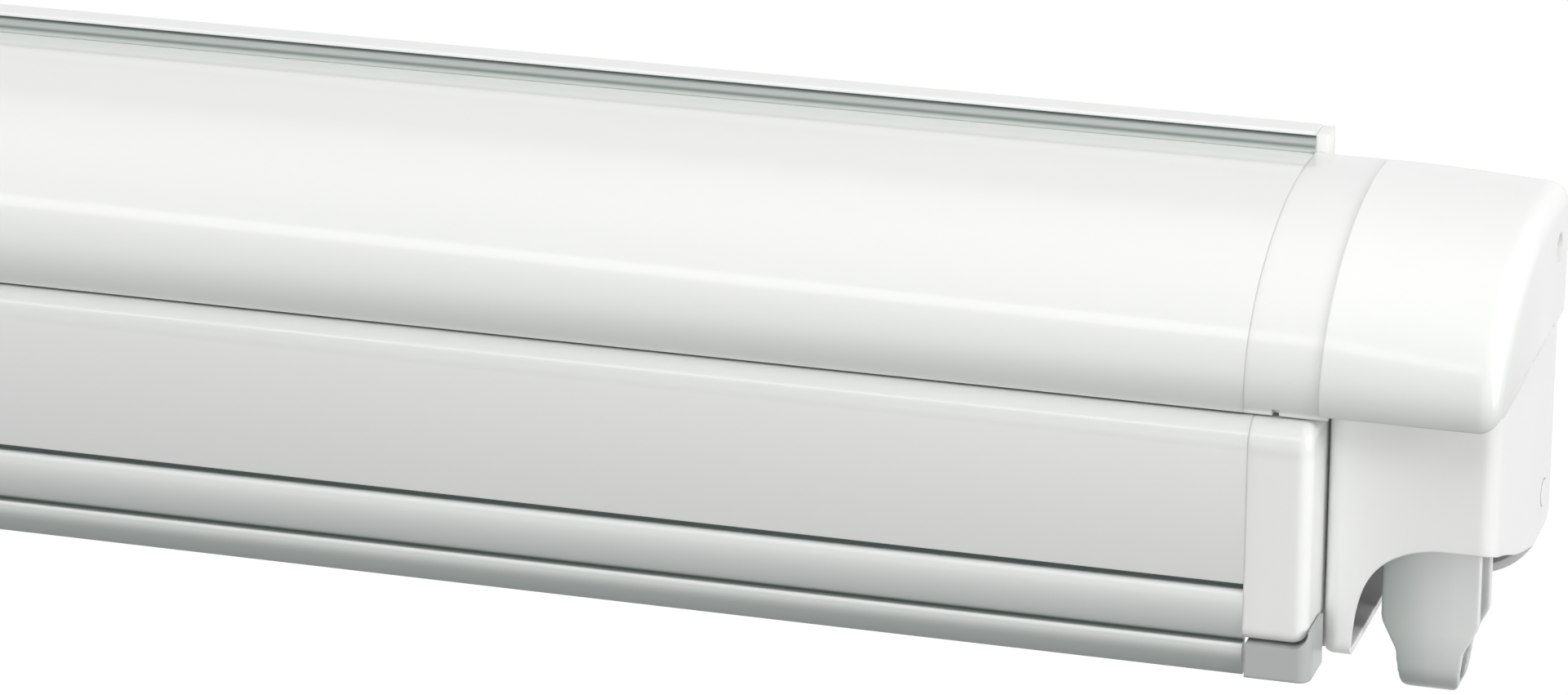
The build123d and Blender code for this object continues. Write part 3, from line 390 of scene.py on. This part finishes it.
coat_white = finish_surface("white_coat", WHITE, **COATED)
plastic_white = finish_surface("white_plastic", PLASTIC_WHITE, **PLASTIC)
arm_white = finish_surface("arm_coat", ((0.78, 0.785, 0.79), (0.82, 0.823, 0.826)), rough=0.42,
                           uneven=0.06, patches=10.0, grain=1200.0, relief=0.00005)
cast = finish_surface("cast_metal", ((0.56, 0.57, 0.58), (0.64, 0.645, 0.65)), rough=0.5,
                      uneven=0.08, patches=45.0, grain=700.0, relief=0.00018, metallic=0.85)
dark_plastic = finish_surface("gearbox_plastic", ((0.055, 0.057, 0.06), (0.085, 0.087, 0.09)),
                              rough=0.55, uneven=0.07, patches=30.0, grain=1400.0,
                              relief=0.00012)
steel = finish_surface("steel", ((0.55, 0.555, 0.56), (0.63, 0.63, 0.635)), rough=0.3,
                       uneven=0.07, patches=40.0, grain=900.0, relief=0.00005, metallic=1.0,
                       stretch=(1.0, 1.0, 14.0))
bearing = finish_surface("bearing_plastic", ((0.76, 0.75, 0.71), (0.82, 0.81, 0.78)), rough=0.5,
                         uneven=0.05, patches=25.0, grain=900.0, relief=0.00006)
bronze = finish_surface("bronze", ((0.52, 0.37, 0.17), (0.62, 0.46, 0.23)), rough=0.34,
                        uneven=0.08, patches=60.0, grain=800.0, relief=0.00006, metallic=1.0)
tube_metal = finish_surface("tube_metal", ((0.66, 0.67, 0.68), (0.72, 0.73, 0.74)), rough=0.38,
                            uneven=0.06, patches=12.0, grain=1200.0, relief=0.00005,
                            metallic=0.95, stretch=ALONG_TUBE)
leg_metal = finish_surface("leg_metal", ((0.68, 0.685, 0.69), (0.74, 0.745, 0.75)), rough=0.33,
                           uneven=0.06, patches=12.0, grain=1400.0, relief=0.00005,
                           metallic=0.95, stretch=ALONG_TUBE)
fitting = finish_surface("leg_fittings", ((0.17, 0.175, 0.18), (0.22, 0.225, 0.23)), rough=0.5,
                         uneven=0.07, patches=30.0, grain=1500.0, relief=0.00012)
rubber = finish_surface("seal_rubber", ((0.018, 0.018, 0.019), (0.035, 0.035, 0.036)),
                        rough=0.72, uneven=0.07, patches=50.0, grain=1800.0, relief=0.0001)
hem = finish_surface("hem_plastic", ((0.66, 0.66, 0.655), (0.72, 0.72, 0.715)), rough=0.45,
                     uneven=0.05, patches=40.0, grain=1200.0, relief=0.00005)

# Looks of single pieces, with light and shade painted into their colour. A painted shade is a list
# of
# # places in millimetres with what the colour is multiplied by there: by height (Z), by depth (Y)
# or by length (X).
# Painted shade over the hood's front part
HOOD_FRONT_PAINTED_SHADE = (0.9, 0.9, 0.9)
# Painted shade that dims the rail away from its ledge, so the ledge reads as lit
RAIL_PAINTED_DIM = (0.86, 0.86, 0.86)
# Painted shade: darker towards the lower edge, where less light falls
LOW_EDGE_PAINTED_SHADE = [(84.0, (0.79, 0.8, 0.795)), (93.0, (0.88, 0.885, 0.88)), (105.0, (0.95, 0.953, 0.95)),
             (116.0, NONE), (136.0, NONE)]
# Painted shade of the hood by height, darkest at its lip
HOOD_PAINTED_SHADE = [(70.0, (0.62, 0.64, 0.635)), (78.0, (0.68, 0.7, 0.695))] + LOW_EDGE_PAINTED_SHADE
# Painted shade by depth: the hood darker over its front, full white near the rail
HOOD_DEPTH_PAINTED_SHADE = [(-100.0, HOOD_FRONT_PAINTED_SHADE), (-62.0, HOOD_FRONT_PAINTED_SHADE), (-52.0, (0.86, 0.86, 0.86)),
                    (-32.0, (0.89, 0.89, 0.89)), (-20.0, NONE), (-8.0, NONE)]
# Painted shade of the caps by height: a dark band under the shell's overhang, then darker towards
# the lower edge
CAP_PAINTED_SHADE = [(10.0, NONE), (78.8, NONE), (79.0, (0.7, 0.715, 0.71))] + LOW_EDGE_PAINTED_SHADE
# Painted shade in the hook rail's groove under the lip, dark lines and grey, with the ledge left
# at full brightness
RAIL_PAINTED_SHADE = [(2.0, RAIL_PAINTED_DIM), (118.0, RAIL_PAINTED_DIM), (122.0, NONE), (128.35, NONE),
              (128.6, (0.84, 0.855, 0.85)), (129.7, (0.62, 0.645, 0.635)),
              (130.7, (0.18, 0.21, 0.2)), (131.9, (0.45, 0.475, 0.465)),
              (133.2, (0.3, 0.325, 0.32)), (134.1, (0.06, 0.082, 0.078)), (134.3, RAIL_PAINTED_DIM),
              (136.0, RAIL_PAINTED_DIM)]
# Painted shade of the lead bar by height: darker under its lower lip and over the band below the
# slot, the slot near black, the top rounding under the hood darkened
BAR_PAINTED_SHADE = [(8.0, (0.2, 0.22, 0.215)), (10.0, (0.28, 0.3, 0.295)), (10.6, (0.55, 0.57, 0.56)),
             (17.0, (0.74, 0.755, 0.75)), (22.5, (0.93, 0.935, 0.93)), (25.3, (0.9, 0.91, 0.92)),
             (25.7, (0.03, 0.062, 0.056)), (27.5, (0.03, 0.062, 0.056)), (27.7, NONE),
             (68.0, NONE), (72.0, (0.86, 0.865, 0.86)), (78.0, (0.78, 0.785, 0.78))]
# Painted shade: the lead-bar caps darker at the top, under the hood
BAR_CAP_PAINTED_SHADE = [(0.0, NONE), (66.0, NONE), (71.0, (0.88, 0.885, 0.88)),
                 (79.0, (0.78, 0.785, 0.78))]
# Painted shade of the lower rail by height: darker on its down-facing face, lighter at its top
# rounding, near black in the gap under the lead bar
STRIP_PAINTED_SHADE = [(-1.3, (0.36, 0.385, 0.39)), (3.4, (0.44, 0.46, 0.465)), (5.0, (0.56, 0.58, 0.58)),
               (6.8, (0.78, 0.79, 0.78)), (8.7, (0.83, 0.84, 0.83)), (9.1, (0.06, 0.09, 0.085)),
               (20.0, (0.06, 0.09, 0.085))]
# Painted shade of the winch eye, darker towards its bottom
EYE_PAINTED_SHADE = [(-17.0, (0.36, 0.385, 0.38)), (-8.0, (0.72, 0.735, 0.73)), (4.0, (0.93, 0.935, 0.93)),
             (18.0, NONE), (38.0, NONE)]
EYE_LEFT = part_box("winch_eye")[0][0] / MM
# Painted shade, darker towards the eye's left side
EYE_SIDE_PAINTED_SHADE = [(EYE_LEFT, (0.5, 0.54, 0.53)), (EYE_LEFT + 7.3, (0.7, 0.725, 0.715)),
                  (EYE_LEFT + 14.6, (0.9, 0.91, 0.905)), (EYE_LEFT + 22.0, NONE),
                  (EYE_LEFT + 29.0, NONE)]

hood_white = finish_surface("hood_coat", ((0.884, 0.896, 0.876), (0.904, 0.914, 0.894)), **COATED,
                            painted_shades=(("Z", HOOD_PAINTED_SHADE), ("Y", HOOD_DEPTH_PAINTED_SHADE)))
rail_white = finish_surface("rail_coat", ((0.925, 0.94, 0.92), (0.945, 0.958, 0.94)), **COATED,
                            painted_shades=(("Z", RAIL_PAINTED_SHADE),))
bar_white = finish_surface("bar_coat", WHITE, **{**COATED, "rough": 0.3, "coat_rough": 0.06},
                           deep=0.15, painted_shades=(("Z", BAR_PAINTED_SHADE),))
strip_white = finish_surface("strip_coat", WHITE,
                             **{**COATED, "patches": 8.0, "coat": 0.4, "coat_rough": 0.08},
                             painted_shades=(("Z", STRIP_PAINTED_SHADE),))
bar_cap_white = finish_surface("bar_cap_plastic", PLASTIC_WHITE, **PLASTIC, deep=0.35,
                               painted_shades=(("Z", BAR_CAP_PAINTED_SHADE),))
cap_white = finish_surface("cap_plastic", PLASTIC_WHITE, **PLASTIC, deep=0.35, painted_shade_front_only=True,
                           painted_shades=(("Z", CAP_PAINTED_SHADE),))
eye_plastic = finish_surface("eye_plastic", ((0.76, 0.775, 0.765), (0.79, 0.8, 0.79)),
                             **{**PLASTIC, "patches": 12.0, "coat": 0.4, "edge": 0.0},
                             painted_shades=(("Z", EYE_PAINTED_SHADE), ("X", EYE_SIDE_PAINTED_SHADE)))
# The corner pieces are white plastic; this grey is painted shade on their downward faces
corner_painted_shade = finish_surface("corner_plastic_painted_shade", ((0.4, 0.42, 0.415), (0.44, 0.455, 0.45)),
                             **{**PLASTIC, "rough": 0.34, "patches": 12.0, "coat": 0.3})
cloth = canopy_cloth()

SLOT_LOOK = {"white_coat": coat_white, "white_plastic": plastic_white, "arm_coat": arm_white,
             "cast_metal": cast, "gearbox_plastic": dark_plastic, "steel": steel,
             "bearing_plastic": bearing, "bronze": bronze, "tube_metal": tube_metal,
             "leg_metal": leg_metal, "leg_fittings": fitting, "seal_rubber": rubber,
             "canopy_fabric": cloth, "hem_plastic": hem}


def dress(name, look):
    """Give every material slot of a CAD node one look."""
    obj = frame["nodes"][name]
    if not obj.material_slots:
        obj.data.materials.append(look)
    for place in obj.material_slots:
        place.material = look


def dress_nodes():
    """Each CAD node by its slot in the record, and some nodes with a look of their own that
    carries painted shade.
    """
    for part in frame["record"]["subparts"]:
        dress(part["node"], SLOT_LOOK[part["material_slot"]])
    for side in ("right", "left"):
        # Corner pieces take painted shade in place of their white; lead-bar caps and end caps take
        # looks with painted shade
        dress(side + "_corner_piece", corner_painted_shade)
        dress(side + "_lead_bar_cap", bar_cap_white)
        dress(side + "_end_cap", cap_white)


# Meshes

def link_object(name, mesh):
    """A new object in the scene."""
    obj = bpy.data.objects.new(name, mesh)
    bpy.context.collection.objects.link(obj)
    return obj


def settle(obj, look, body, angle=SHARP_ANGLE):
    """Shade, dress and attach a new piece."""
    mesh = obj.data
    mesh.shade_smooth()
    mesh.set_sharp_from_angle(angle=math.radians(angle))
    mesh.materials.clear()
    mesh.materials.append(look)
    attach(obj, body)


def profile_piece(name, loops, half, look, body):
    """Extrude closed (Y, height) loops evenly about mid-length; later loops are holes."""
    curve = bpy.data.curves.new(name + "_line", "CURVE")
    curve.dimensions = "2D"
    curve.fill_mode = "BOTH"
    for loop in loops:
        spline = curve.splines.new("POLY")
        spline.points.add(len(loop) - 1)
        for point, (y, height) in zip(spline.points, loop):
            point.co = (y * MM, z_of(height), 0.0, 1.0)
        spline.use_cyclic_u = True
    curve.extrude = half * MM
    holder = link_object(name + "_line", curve)
    mesh = bpy.data.meshes.new_from_object(holder)
    bpy.data.objects.remove(holder)
    mesh.transform(Matrix(((0, 0, 1, 0), (1, 0, 0, 0), (0, 1, 0, 0), (0, 0, 0, 1))))
    weld = bmesh.new()
    weld.from_mesh(mesh)
    bmesh.ops.remove_doubles(weld, verts=weld.verts, dist=WELD_GAP * MM)
    bmesh.ops.recalc_face_normals(weld, faces=weld.faces)
    weld.to_mesh(mesh)
    weld.free()
    piece = link_object(name, mesh)
    settle(piece, look, body)
    return piece


def arc(cy, cz, radius, start, end, steps):
    """Points on a circle from one angle to another, in degrees."""
    points = []
    for index in range(steps + 1):
        angle = math.radians(start + (end - start) * index / steps)
        points.append((cy + radius * math.cos(angle), cz + radius * math.sin(angle)))
    return points


def bends(knots, values):
    """Second derivatives of the natural cubic spline through the values at the knots."""
    count = len(values)
    lower = [0.0] * count
    middle = [1.0] * count
    upper = [0.0] * count
    right = [0.0] * count
    for i in range(1, count - 1):
        before, after = knots[i] - knots[i - 1], knots[i + 1] - knots[i]
        lower[i], middle[i], upper[i] = before, 2 * (before + after), after
        right[i] = 6 * ((values[i + 1] - values[i]) / after
                        - (values[i] - values[i - 1]) / before)
    for i in range(1, count):
        factor = lower[i] / middle[i - 1]
        middle[i] -= factor * upper[i - 1]
        right[i] -= factor * right[i - 1]
    result = [0.0] * count
    result[-1] = right[-1] / middle[-1]
    for i in range(count - 2, -1, -1):
        result[i] = (right[i] - upper[i] * result[i + 1]) / middle[i]
    return result


def natural_curve(points, span_steps):
    """A smooth curve through points, by the length of the chords."""
    knots = [0.0]
    for one, two in zip(points, points[1:]):
        knots.append(knots[-1] + math.dist(one, two))
    series = [[point[axis] for point in points] for axis in (0, 1)]
    second = [bends(knots, values) for values in series]
    curve = []
    for i in range(len(points) - 1):
        span = knots[i + 1] - knots[i]
        for step in range(span_steps):
            t = span * step / span_steps
            place = []
            for values, bend in zip(series, second):
                cubic = (bend[i] * (span - t) ** 3 + bend[i + 1] * t ** 3) / (6 * span)
                start = values[i] / span - bend[i] * span / 6
                end = values[i + 1] / span - bend[i + 1] * span / 6
                place.append(cubic + start * (span - t) + end * t)
            curve.append(tuple(place))
    curve.append(points[-1])
    return curve


# The case

def hood_line(wall):
    """The hood's curve from its rear top to its front edge, a wall inside the outer face."""
    span_y = HOOD_DEPTH - wall - HOOD_REAR_Y
    span_z = HOOD_REAR_TOP - wall - HOOD_EDGE
    points = [(-HOOD_REAR_Y - share_y * span_y, HOOD_EDGE + share_z * span_z)
              for share_y, share_z in HOOD_SHARES]
    return natural_curve(points, HOOD_SPAN_STEPS)


def build_hood():
    """The curved front of the case with a rounded lower edge."""
    outer = hood_line(0.0)
    inner = hood_line(HOOD_WALL)
    lip = [(-depth, HOOD_EDGE + rise) for depth, rise in HOOD_LIP]
    loop = outer[:-1] + lip + list(reversed(inner[:-1]))
    piece = profile_piece("hood_shell", [loop], CASE_HALF, hood_white, "case")
    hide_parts("case_hood")


def build_back():
    """Wall side of the case: hook rail with its groove at the top, floor at the bottom."""
    lip_low = RAIL_TOP - RAIL_LIP_THICK
    loop = [(0.0, BACK_LOW), (0.0, RAIL_TOP - BACK_EDGE), (-BACK_EDGE, RAIL_TOP),
            (RAIL_LIP_EDGE - RAIL_LIP_DEPTH, RAIL_TOP), (-RAIL_LIP_DEPTH, RAIL_TOP - BACK_EDGE),
            (-RAIL_LIP_DEPTH, lip_low + RAIL_UNDER_EDGE),
            (RAIL_UNDER_EDGE - RAIL_LIP_DEPTH, lip_low)]
    loop += arc(-GROOVE_Y, lip_low - GROOVE_RADIUS, GROOVE_RADIUS, *GROOVE_ANGLES, GROOVE_STEPS)
    loop += [(-LEDGE_REAR_Y, LEDGE_TOP), (LEDGE_EDGE - LEDGE_FRONT_Y, LEDGE_TOP),
             (-LEDGE_FRONT_Y, LEDGE_TOP - LEDGE_EDGE), (-LEDGE_FRONT_Y, LEDGE_TOP - LEDGE_THICK),
             (-WALL, LEDGE_TOP - LEDGE_THICK), (-WALL, BACK_LOW + WALL),
             (BACK_EDGE - FLOOR_DEPTH, BACK_LOW + WALL),
             (-FLOOR_DEPTH, BACK_LOW + WALL - BACK_EDGE),
             (-FLOOR_DEPTH, BACK_LOW - FLOOR_LIP_DROP),
             (WALL - FLOOR_DEPTH, BACK_LOW - FLOOR_LIP_DROP), (WALL - FLOOR_DEPTH, BACK_LOW)]
    piece = profile_piece("case_profile", [loop], CASE_HALF, rail_white, "case")
    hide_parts("case_back")


# The lead bar

def build_lead_bar():
    """Hollow bar with the hem groove at the rear and the slot and lip at the front."""
    front_wall = BAR_FRONT - BAR_FRONT_WALL
    rear_wall = BAR_REAR + BAR_WALL
    round_y, round_height = BAR_ROUND - BAR_FRONT, BAR_TOP - BAR_ROUND
    mouth_low, mouth_top = HEM_HEIGHT - HEM_MOUTH_HALF, HEM_HEIGHT + HEM_MOUTH_HALF
    mouth_end = -BAR_REAR - HEM_MOUTH_DEPTH
    loop = [(-BAR_REAR, BAR_BOX_LOW), (-BAR_REAR, mouth_low), (mouth_end, mouth_low)]
    loop += arc(-HEM_Y, HEM_HEIGHT, HEM_RADIUS, -HEM_MOUTH_ANGLE, HEM_MOUTH_ANGLE - 360.0,
                HEM_STEPS)
    loop += [(mouth_end, mouth_top), (-BAR_REAR, mouth_top), (-BAR_REAR, BAR_TOP - BAR_REAR_EDGE),
             (-BAR_REAR - BAR_REAR_EDGE, BAR_TOP)]
    loop += arc(round_y, round_height, BAR_ROUND, 90.0, 180.0, BAR_ROUND_STEPS)
    loop += [(-BAR_FRONT, SLOT_TOP + SLOT_EDGE_RISE), (SLOT_EDGE_DEPTH - BAR_FRONT, SLOT_TOP),
             (SLOT_DEPTH - BAR_FRONT, SLOT_TOP), (SLOT_DEPTH - BAR_FRONT, SLOT_LOW)]
    loop += arc(SLOT_ROUND - BAR_FRONT, SLOT_LOW - SLOT_ROUND, SLOT_ROUND, 90.0, SLOT_ROUND_END,
                SLOT_ROUND_STEPS)
    loop += [(back - BAR_FRONT, height) for back, height in LIP_FALL]
    loop += [(-front_wall, BAR_LOW), (-front_wall, RIB_LOW), (RIB_DEPTH - BAR_FRONT, RIB_LOW),
             (RIB_DEPTH - BAR_FRONT, RIB_TOP), (-front_wall, RIB_TOP), (-front_wall, BAR_BOX_LOW)]
    floor = BAR_BOX_LOW + BAR_WALL
    block_front = -HEM_Y - HEM_BLOCK
    block_low, block_top = HEM_HEIGHT - HEM_BLOCK, HEM_HEIGHT + HEM_BLOCK
    hollow = [(-front_wall, floor), (-rear_wall, floor), (-rear_wall, block_low),
              (block_front, block_low), (block_front, block_top), (-rear_wall, block_top),
              (-rear_wall, BAR_TOP - BAR_WALL)]
    hollow += arc(round_y, round_height, BAR_HOLLOW_ROUND, 90.0, 180.0, BAR_HOLLOW_STEPS)
    piece = profile_piece("lead_bar_section", [loop, hollow], BAR_HALF, bar_white, "lead_bar")
    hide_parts("lead_bar_profile")


def build_lower_rail():
    """Strip under the lead bar with the tongue that slips behind its wall."""
    loop = [(STRIP_BOTTOM_IN - BAR_FRONT, STRIP_LOW), (-BAR_FRONT, STRIP_FLAT)]
    loop += arc(STRIP_ROUND - BAR_FRONT, STRIP_TOP - STRIP_ROUND, STRIP_ROUND, 180.0, 90.0,
                STRIP_ROUND_STEPS)
    loop += [(-TONGUE_FRONT, STRIP_TOP), (-TONGUE_FRONT, TONGUE_TOP), (-STRIP_REAR, TONGUE_TOP),
             (-STRIP_REAR, STRIP_LOW + STRIP_EDGE), (-STRIP_REAR - STRIP_EDGE, STRIP_LOW)]
    piece = profile_piece("lower_rail_section", [loop], BAR_HALF, strip_white, "lead_bar")
    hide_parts("lower_rail")


# The canopy

def build_roll():
    """The wound fabric: one strip in a spiral round the roller tube."""
    steps = ROLL_TURNS * ROLL_TURN_STEPS
    pitch = (ROLL_OUTER - ROLL_INNER) / ROLL_TURNS
    inside, outside = [], []
    for index in range(steps + 1):
        share = index / steps
        angle = -math.pi / 2 + 2 * math.pi * ROLL_TURNS * share
        radius = ROLL_INNER + (ROLL_OUTER - ROLL_INNER - pitch) * share
        for line, reach in ((inside, radius), (outside, radius + pitch * LAYER_SHARE)):
            line.append((reach * math.cos(angle) - ROLLER_Y,
                         reach * math.sin(angle) + ROLLER_HEIGHT))
    loop = inside + list(reversed(outside))
    count = len(loop)
    shape = bmesh.new()
    ends = []
    for x in (-CANOPY_HALF, CANOPY_HALF):
        ends.append([shape.verts.new((x * MM, y * MM, z_of(height))) for y, height in loop])
    for index in range(count):
        after = (index + 1) % count
        shape.faces.new((ends[0][index], ends[0][after], ends[1][after], ends[1][index]))
    for end in ends:
        for index in range(steps):
            shape.faces.new((end[index], end[index + 1], end[count - 2 - index],
                             end[count - 1 - index]))
    bmesh.ops.recalc_face_normals(shape, faces=shape.faces)
    mesh = bpy.data.meshes.new("canopy_winding")
    shape.to_mesh(mesh)
    shape.free()
    roll = link_object("canopy_winding", mesh)
    settle(roll, cloth, "roller", ROLL_SHARP_ANGLE)
    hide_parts("canopy_roll")


def build_sheet():
    """The stretch of fabric from the roll to the lead bar."""
    rear, front = SHEET_REAR, SHEET_FRONT
    points, faces = [], []
    for i in range(SHEET_ACROSS + 1):
        x = -CANOPY_HALF + 2 * CANOPY_HALF * i / SHEET_ACROSS
        for j in range(SHEET_ALONG + 1):
            share = j / SHEET_ALONG
            y = rear[0] + (front[0] - rear[0]) * share
            height = rear[1] + (front[1] - rear[1]) * share
            points.append((x * MM, y * MM, z_of(height)))
    row = SHEET_ALONG + 1
    for i in range(SHEET_ACROSS):
        for j in range(SHEET_ALONG):
            corner = i * row + j
            faces.append((corner, corner + 1, corner + row + 1, corner + row))
    mesh = bpy.data.meshes.new("canopy_cloth")
    mesh.from_pydata(points, [], faces)
    sheet = link_object("canopy_cloth", mesh)
    thick = sheet.modifiers.new("thickness", "SOLIDIFY")
    thick.thickness = CLOTH_THICK * MM
    thick.offset = 0.0
    mesh.shade_smooth()
    mesh.materials.append(cloth)
    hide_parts("canopy_sheet")
    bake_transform(sheet)


# The winch eye and the end caps

def copy_node(name, node):
    """A new object with its own copy of a CAD node's mesh, at the node's place."""
    source = frame["nodes"][node]
    mesh = source.data.copy()
    mesh.name = name
    piece = link_object(name, mesh)
    piece.matrix_world = source.matrix_world.copy()
    return piece


def build_eye():
    """The winch eye with the soft edges of a moulded part."""
    eye = copy_node("winch_loop", "winch_eye")
    remesh = eye.modifiers.new("even", "REMESH")
    remesh.mode = "VOXEL"
    remesh.voxel_size = EYE_VOXEL * MM
    smooth = eye.modifiers.new("soft", "SMOOTH")
    smooth.factor = EYE_SMOOTH_SHARE
    smooth.iterations = EYE_SMOOTHING
    graph = bpy.context.evaluated_depsgraph_get()
    final = bpy.data.meshes.new_from_object(eye.evaluated_get(graph))
    eye.modifiers.clear()
    eye.data = final
    settle(eye, eye_plastic, "winch_eye", EYE_SHARP_ANGLE)
    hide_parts("winch_eye")


def build_caps():
    """The end caps with plain sides: the floors of the shallow grooves are raised to the side."""
    shallow, deepest = (depth * MM for depth in CAP_GROOVE_SUNK)
    front, rear = (y * MM for y in CAP_GROOVE_Y)
    low, top = (z_of(height) for height in CAP_GROOVE_HEIGHTS)
    for side in ("right", "left"):
        left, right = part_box(side + "_end_cap")
        reach = max(abs(left[0]), abs(right[0]))
        cap = copy_node(side + "_cap_shell", side + "_end_cap")
        place = frame["nodes"][side + "_end_cap"].matrix_world
        back = place.inverted()
        for vert in cap.data.vertices:
            x, y, z = place @ vert.co
            sunk = reach - abs(x)
            if shallow < sunk < deepest and front < y < rear and low < z < top:
                vert.co = back @ Vector((math.copysign(reach, x), y, z))
        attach(cap, "case")
        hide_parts(side + "_end_cap")


# Camera, light and floor

def build_camera():
    """The photograph's view."""
    data = bpy.data.cameras.new("view")
    data.sensor_width = SENSOR_WIDTH
    data.lens = SENSOR_WIDTH * FOCAL_PIXELS / PHOTO_WIDTH
    data.clip_start = CAMERA_NEAR
    data.clip_end = CAMERA_FAR
    camera = link_object("view", data)
    camera.location = CAMERA_PLACE
    camera.rotation_euler = (math.radians(90.0 - CAMERA_DOWN), 0.0, math.radians(CAMERA_TURN))
    bpy.context.scene.camera = camera


def area_light(name, place, target, size, power, mirrored):
    """A soft lamp that points at a target."""
    data = bpy.data.lights.new(name, "AREA")
    data.shape = "RECTANGLE"
    data.size, data.size_y = size
    data.energy = power
    lamp = link_object(name, data)
    lamp.location = place
    aim = Vector(target) - Vector(place)
    lamp.rotation_euler = aim.to_track_quat("-Z", "Y").to_euler()
    lamp.visible_glossy = mirrored


def seen_share(tree, share):
    """The share where the camera, a mirror or glass sees the surroundings, else zero."""
    path = tree.nodes.new("ShaderNodeLightPath")
    total = path.outputs["Is Camera Ray"]
    for kind in ("Is Glossy Ray", "Is Transmission Ray"):
        either = add_node(tree, "ShaderNodeMath", operation="MAXIMUM")
        tree.links.new(total, either.inputs[0])
        tree.links.new(path.outputs[kind], either.inputs[1])
        total = either.outputs[0]
    scale = add_node(tree, "ShaderNodeMath", operation="MULTIPLY")
    scale.inputs[1].default_value = share
    tree.links.new(total, scale.inputs[0])
    return scale.outputs[0]


def mix_shaders(tree, factor, one, two):
    """The output of a blend of two shaders."""
    mix = add_node(tree, "ShaderNodeMixShader", links={"Fac": factor})
    tree.links.new(one.outputs[0], mix.inputs[1])
    tree.links.new(two.outputs[0], mix.inputs[2])
    return mix.outputs[0]


def build_world():
    """Weak even light that shows as white where it is seen."""
    world = bpy.data.worlds.new("studio")
    bpy.context.scene.world = world
    world.use_nodes = True
    tree = world.node_tree
    tree.nodes.clear()
    white = (1.0, 1.0, 1.0, 1.0)
    light = add_node(tree, "ShaderNodeBackground", {"Color": white, "Strength": AMBIENT})
    seen = add_node(tree, "ShaderNodeBackground", {"Color": white, "Strength": SEEN_WHITE})
    blend = mix_shaders(tree, seen_share(tree, 1.0), light, seen)
    add_node(tree, "ShaderNodeOutputWorld", links={"Surface": blend})


def build_floor():
    """Plain floor that is white where it is seen and keeps the object's shadow."""
    half, z = FLOOR_HALF, FLOOR_Z
    mesh = bpy.data.meshes.new("floor")
    mesh.from_pydata([(-half, -half, z), (half, -half, z), (half, half, z), (-half, half, z)], [],
                     [(0, 1, 2, 3)])
    floor = link_object("floor", mesh)
    mat = bpy.data.materials.new("floor")
    mat.use_nodes = True
    tree = mat.node_tree
    tree.nodes.clear()
    matt = add_node(tree, "ShaderNodeBsdfDiffuse", {"Color": FLOOR_GREY})
    glow = add_node(tree, "ShaderNodeEmission", {"Color": (1.0, 1.0, 1.0, 1.0),
                                                 "Strength": FLOOR_GLOW})
    blend = mix_shaders(tree, seen_share(tree, FLOOR_GLOW_SHARE), matt, glow)
    add_node(tree, "ShaderNodeOutputMaterial", links={"Surface": blend})
    mesh.materials.append(mat)


dress_nodes()
build_hood()
build_back()
build_lead_bar()
build_lower_rail()
build_roll()
build_sheet()
build_eye()
build_caps()
build_camera()
for lamp_row in LAMPS:
    area_light(*lamp_row)
build_world()
build_floor()
bpy.context.scene.view_settings.view_transform = "Standard"

bpy.context.view_layer.update()
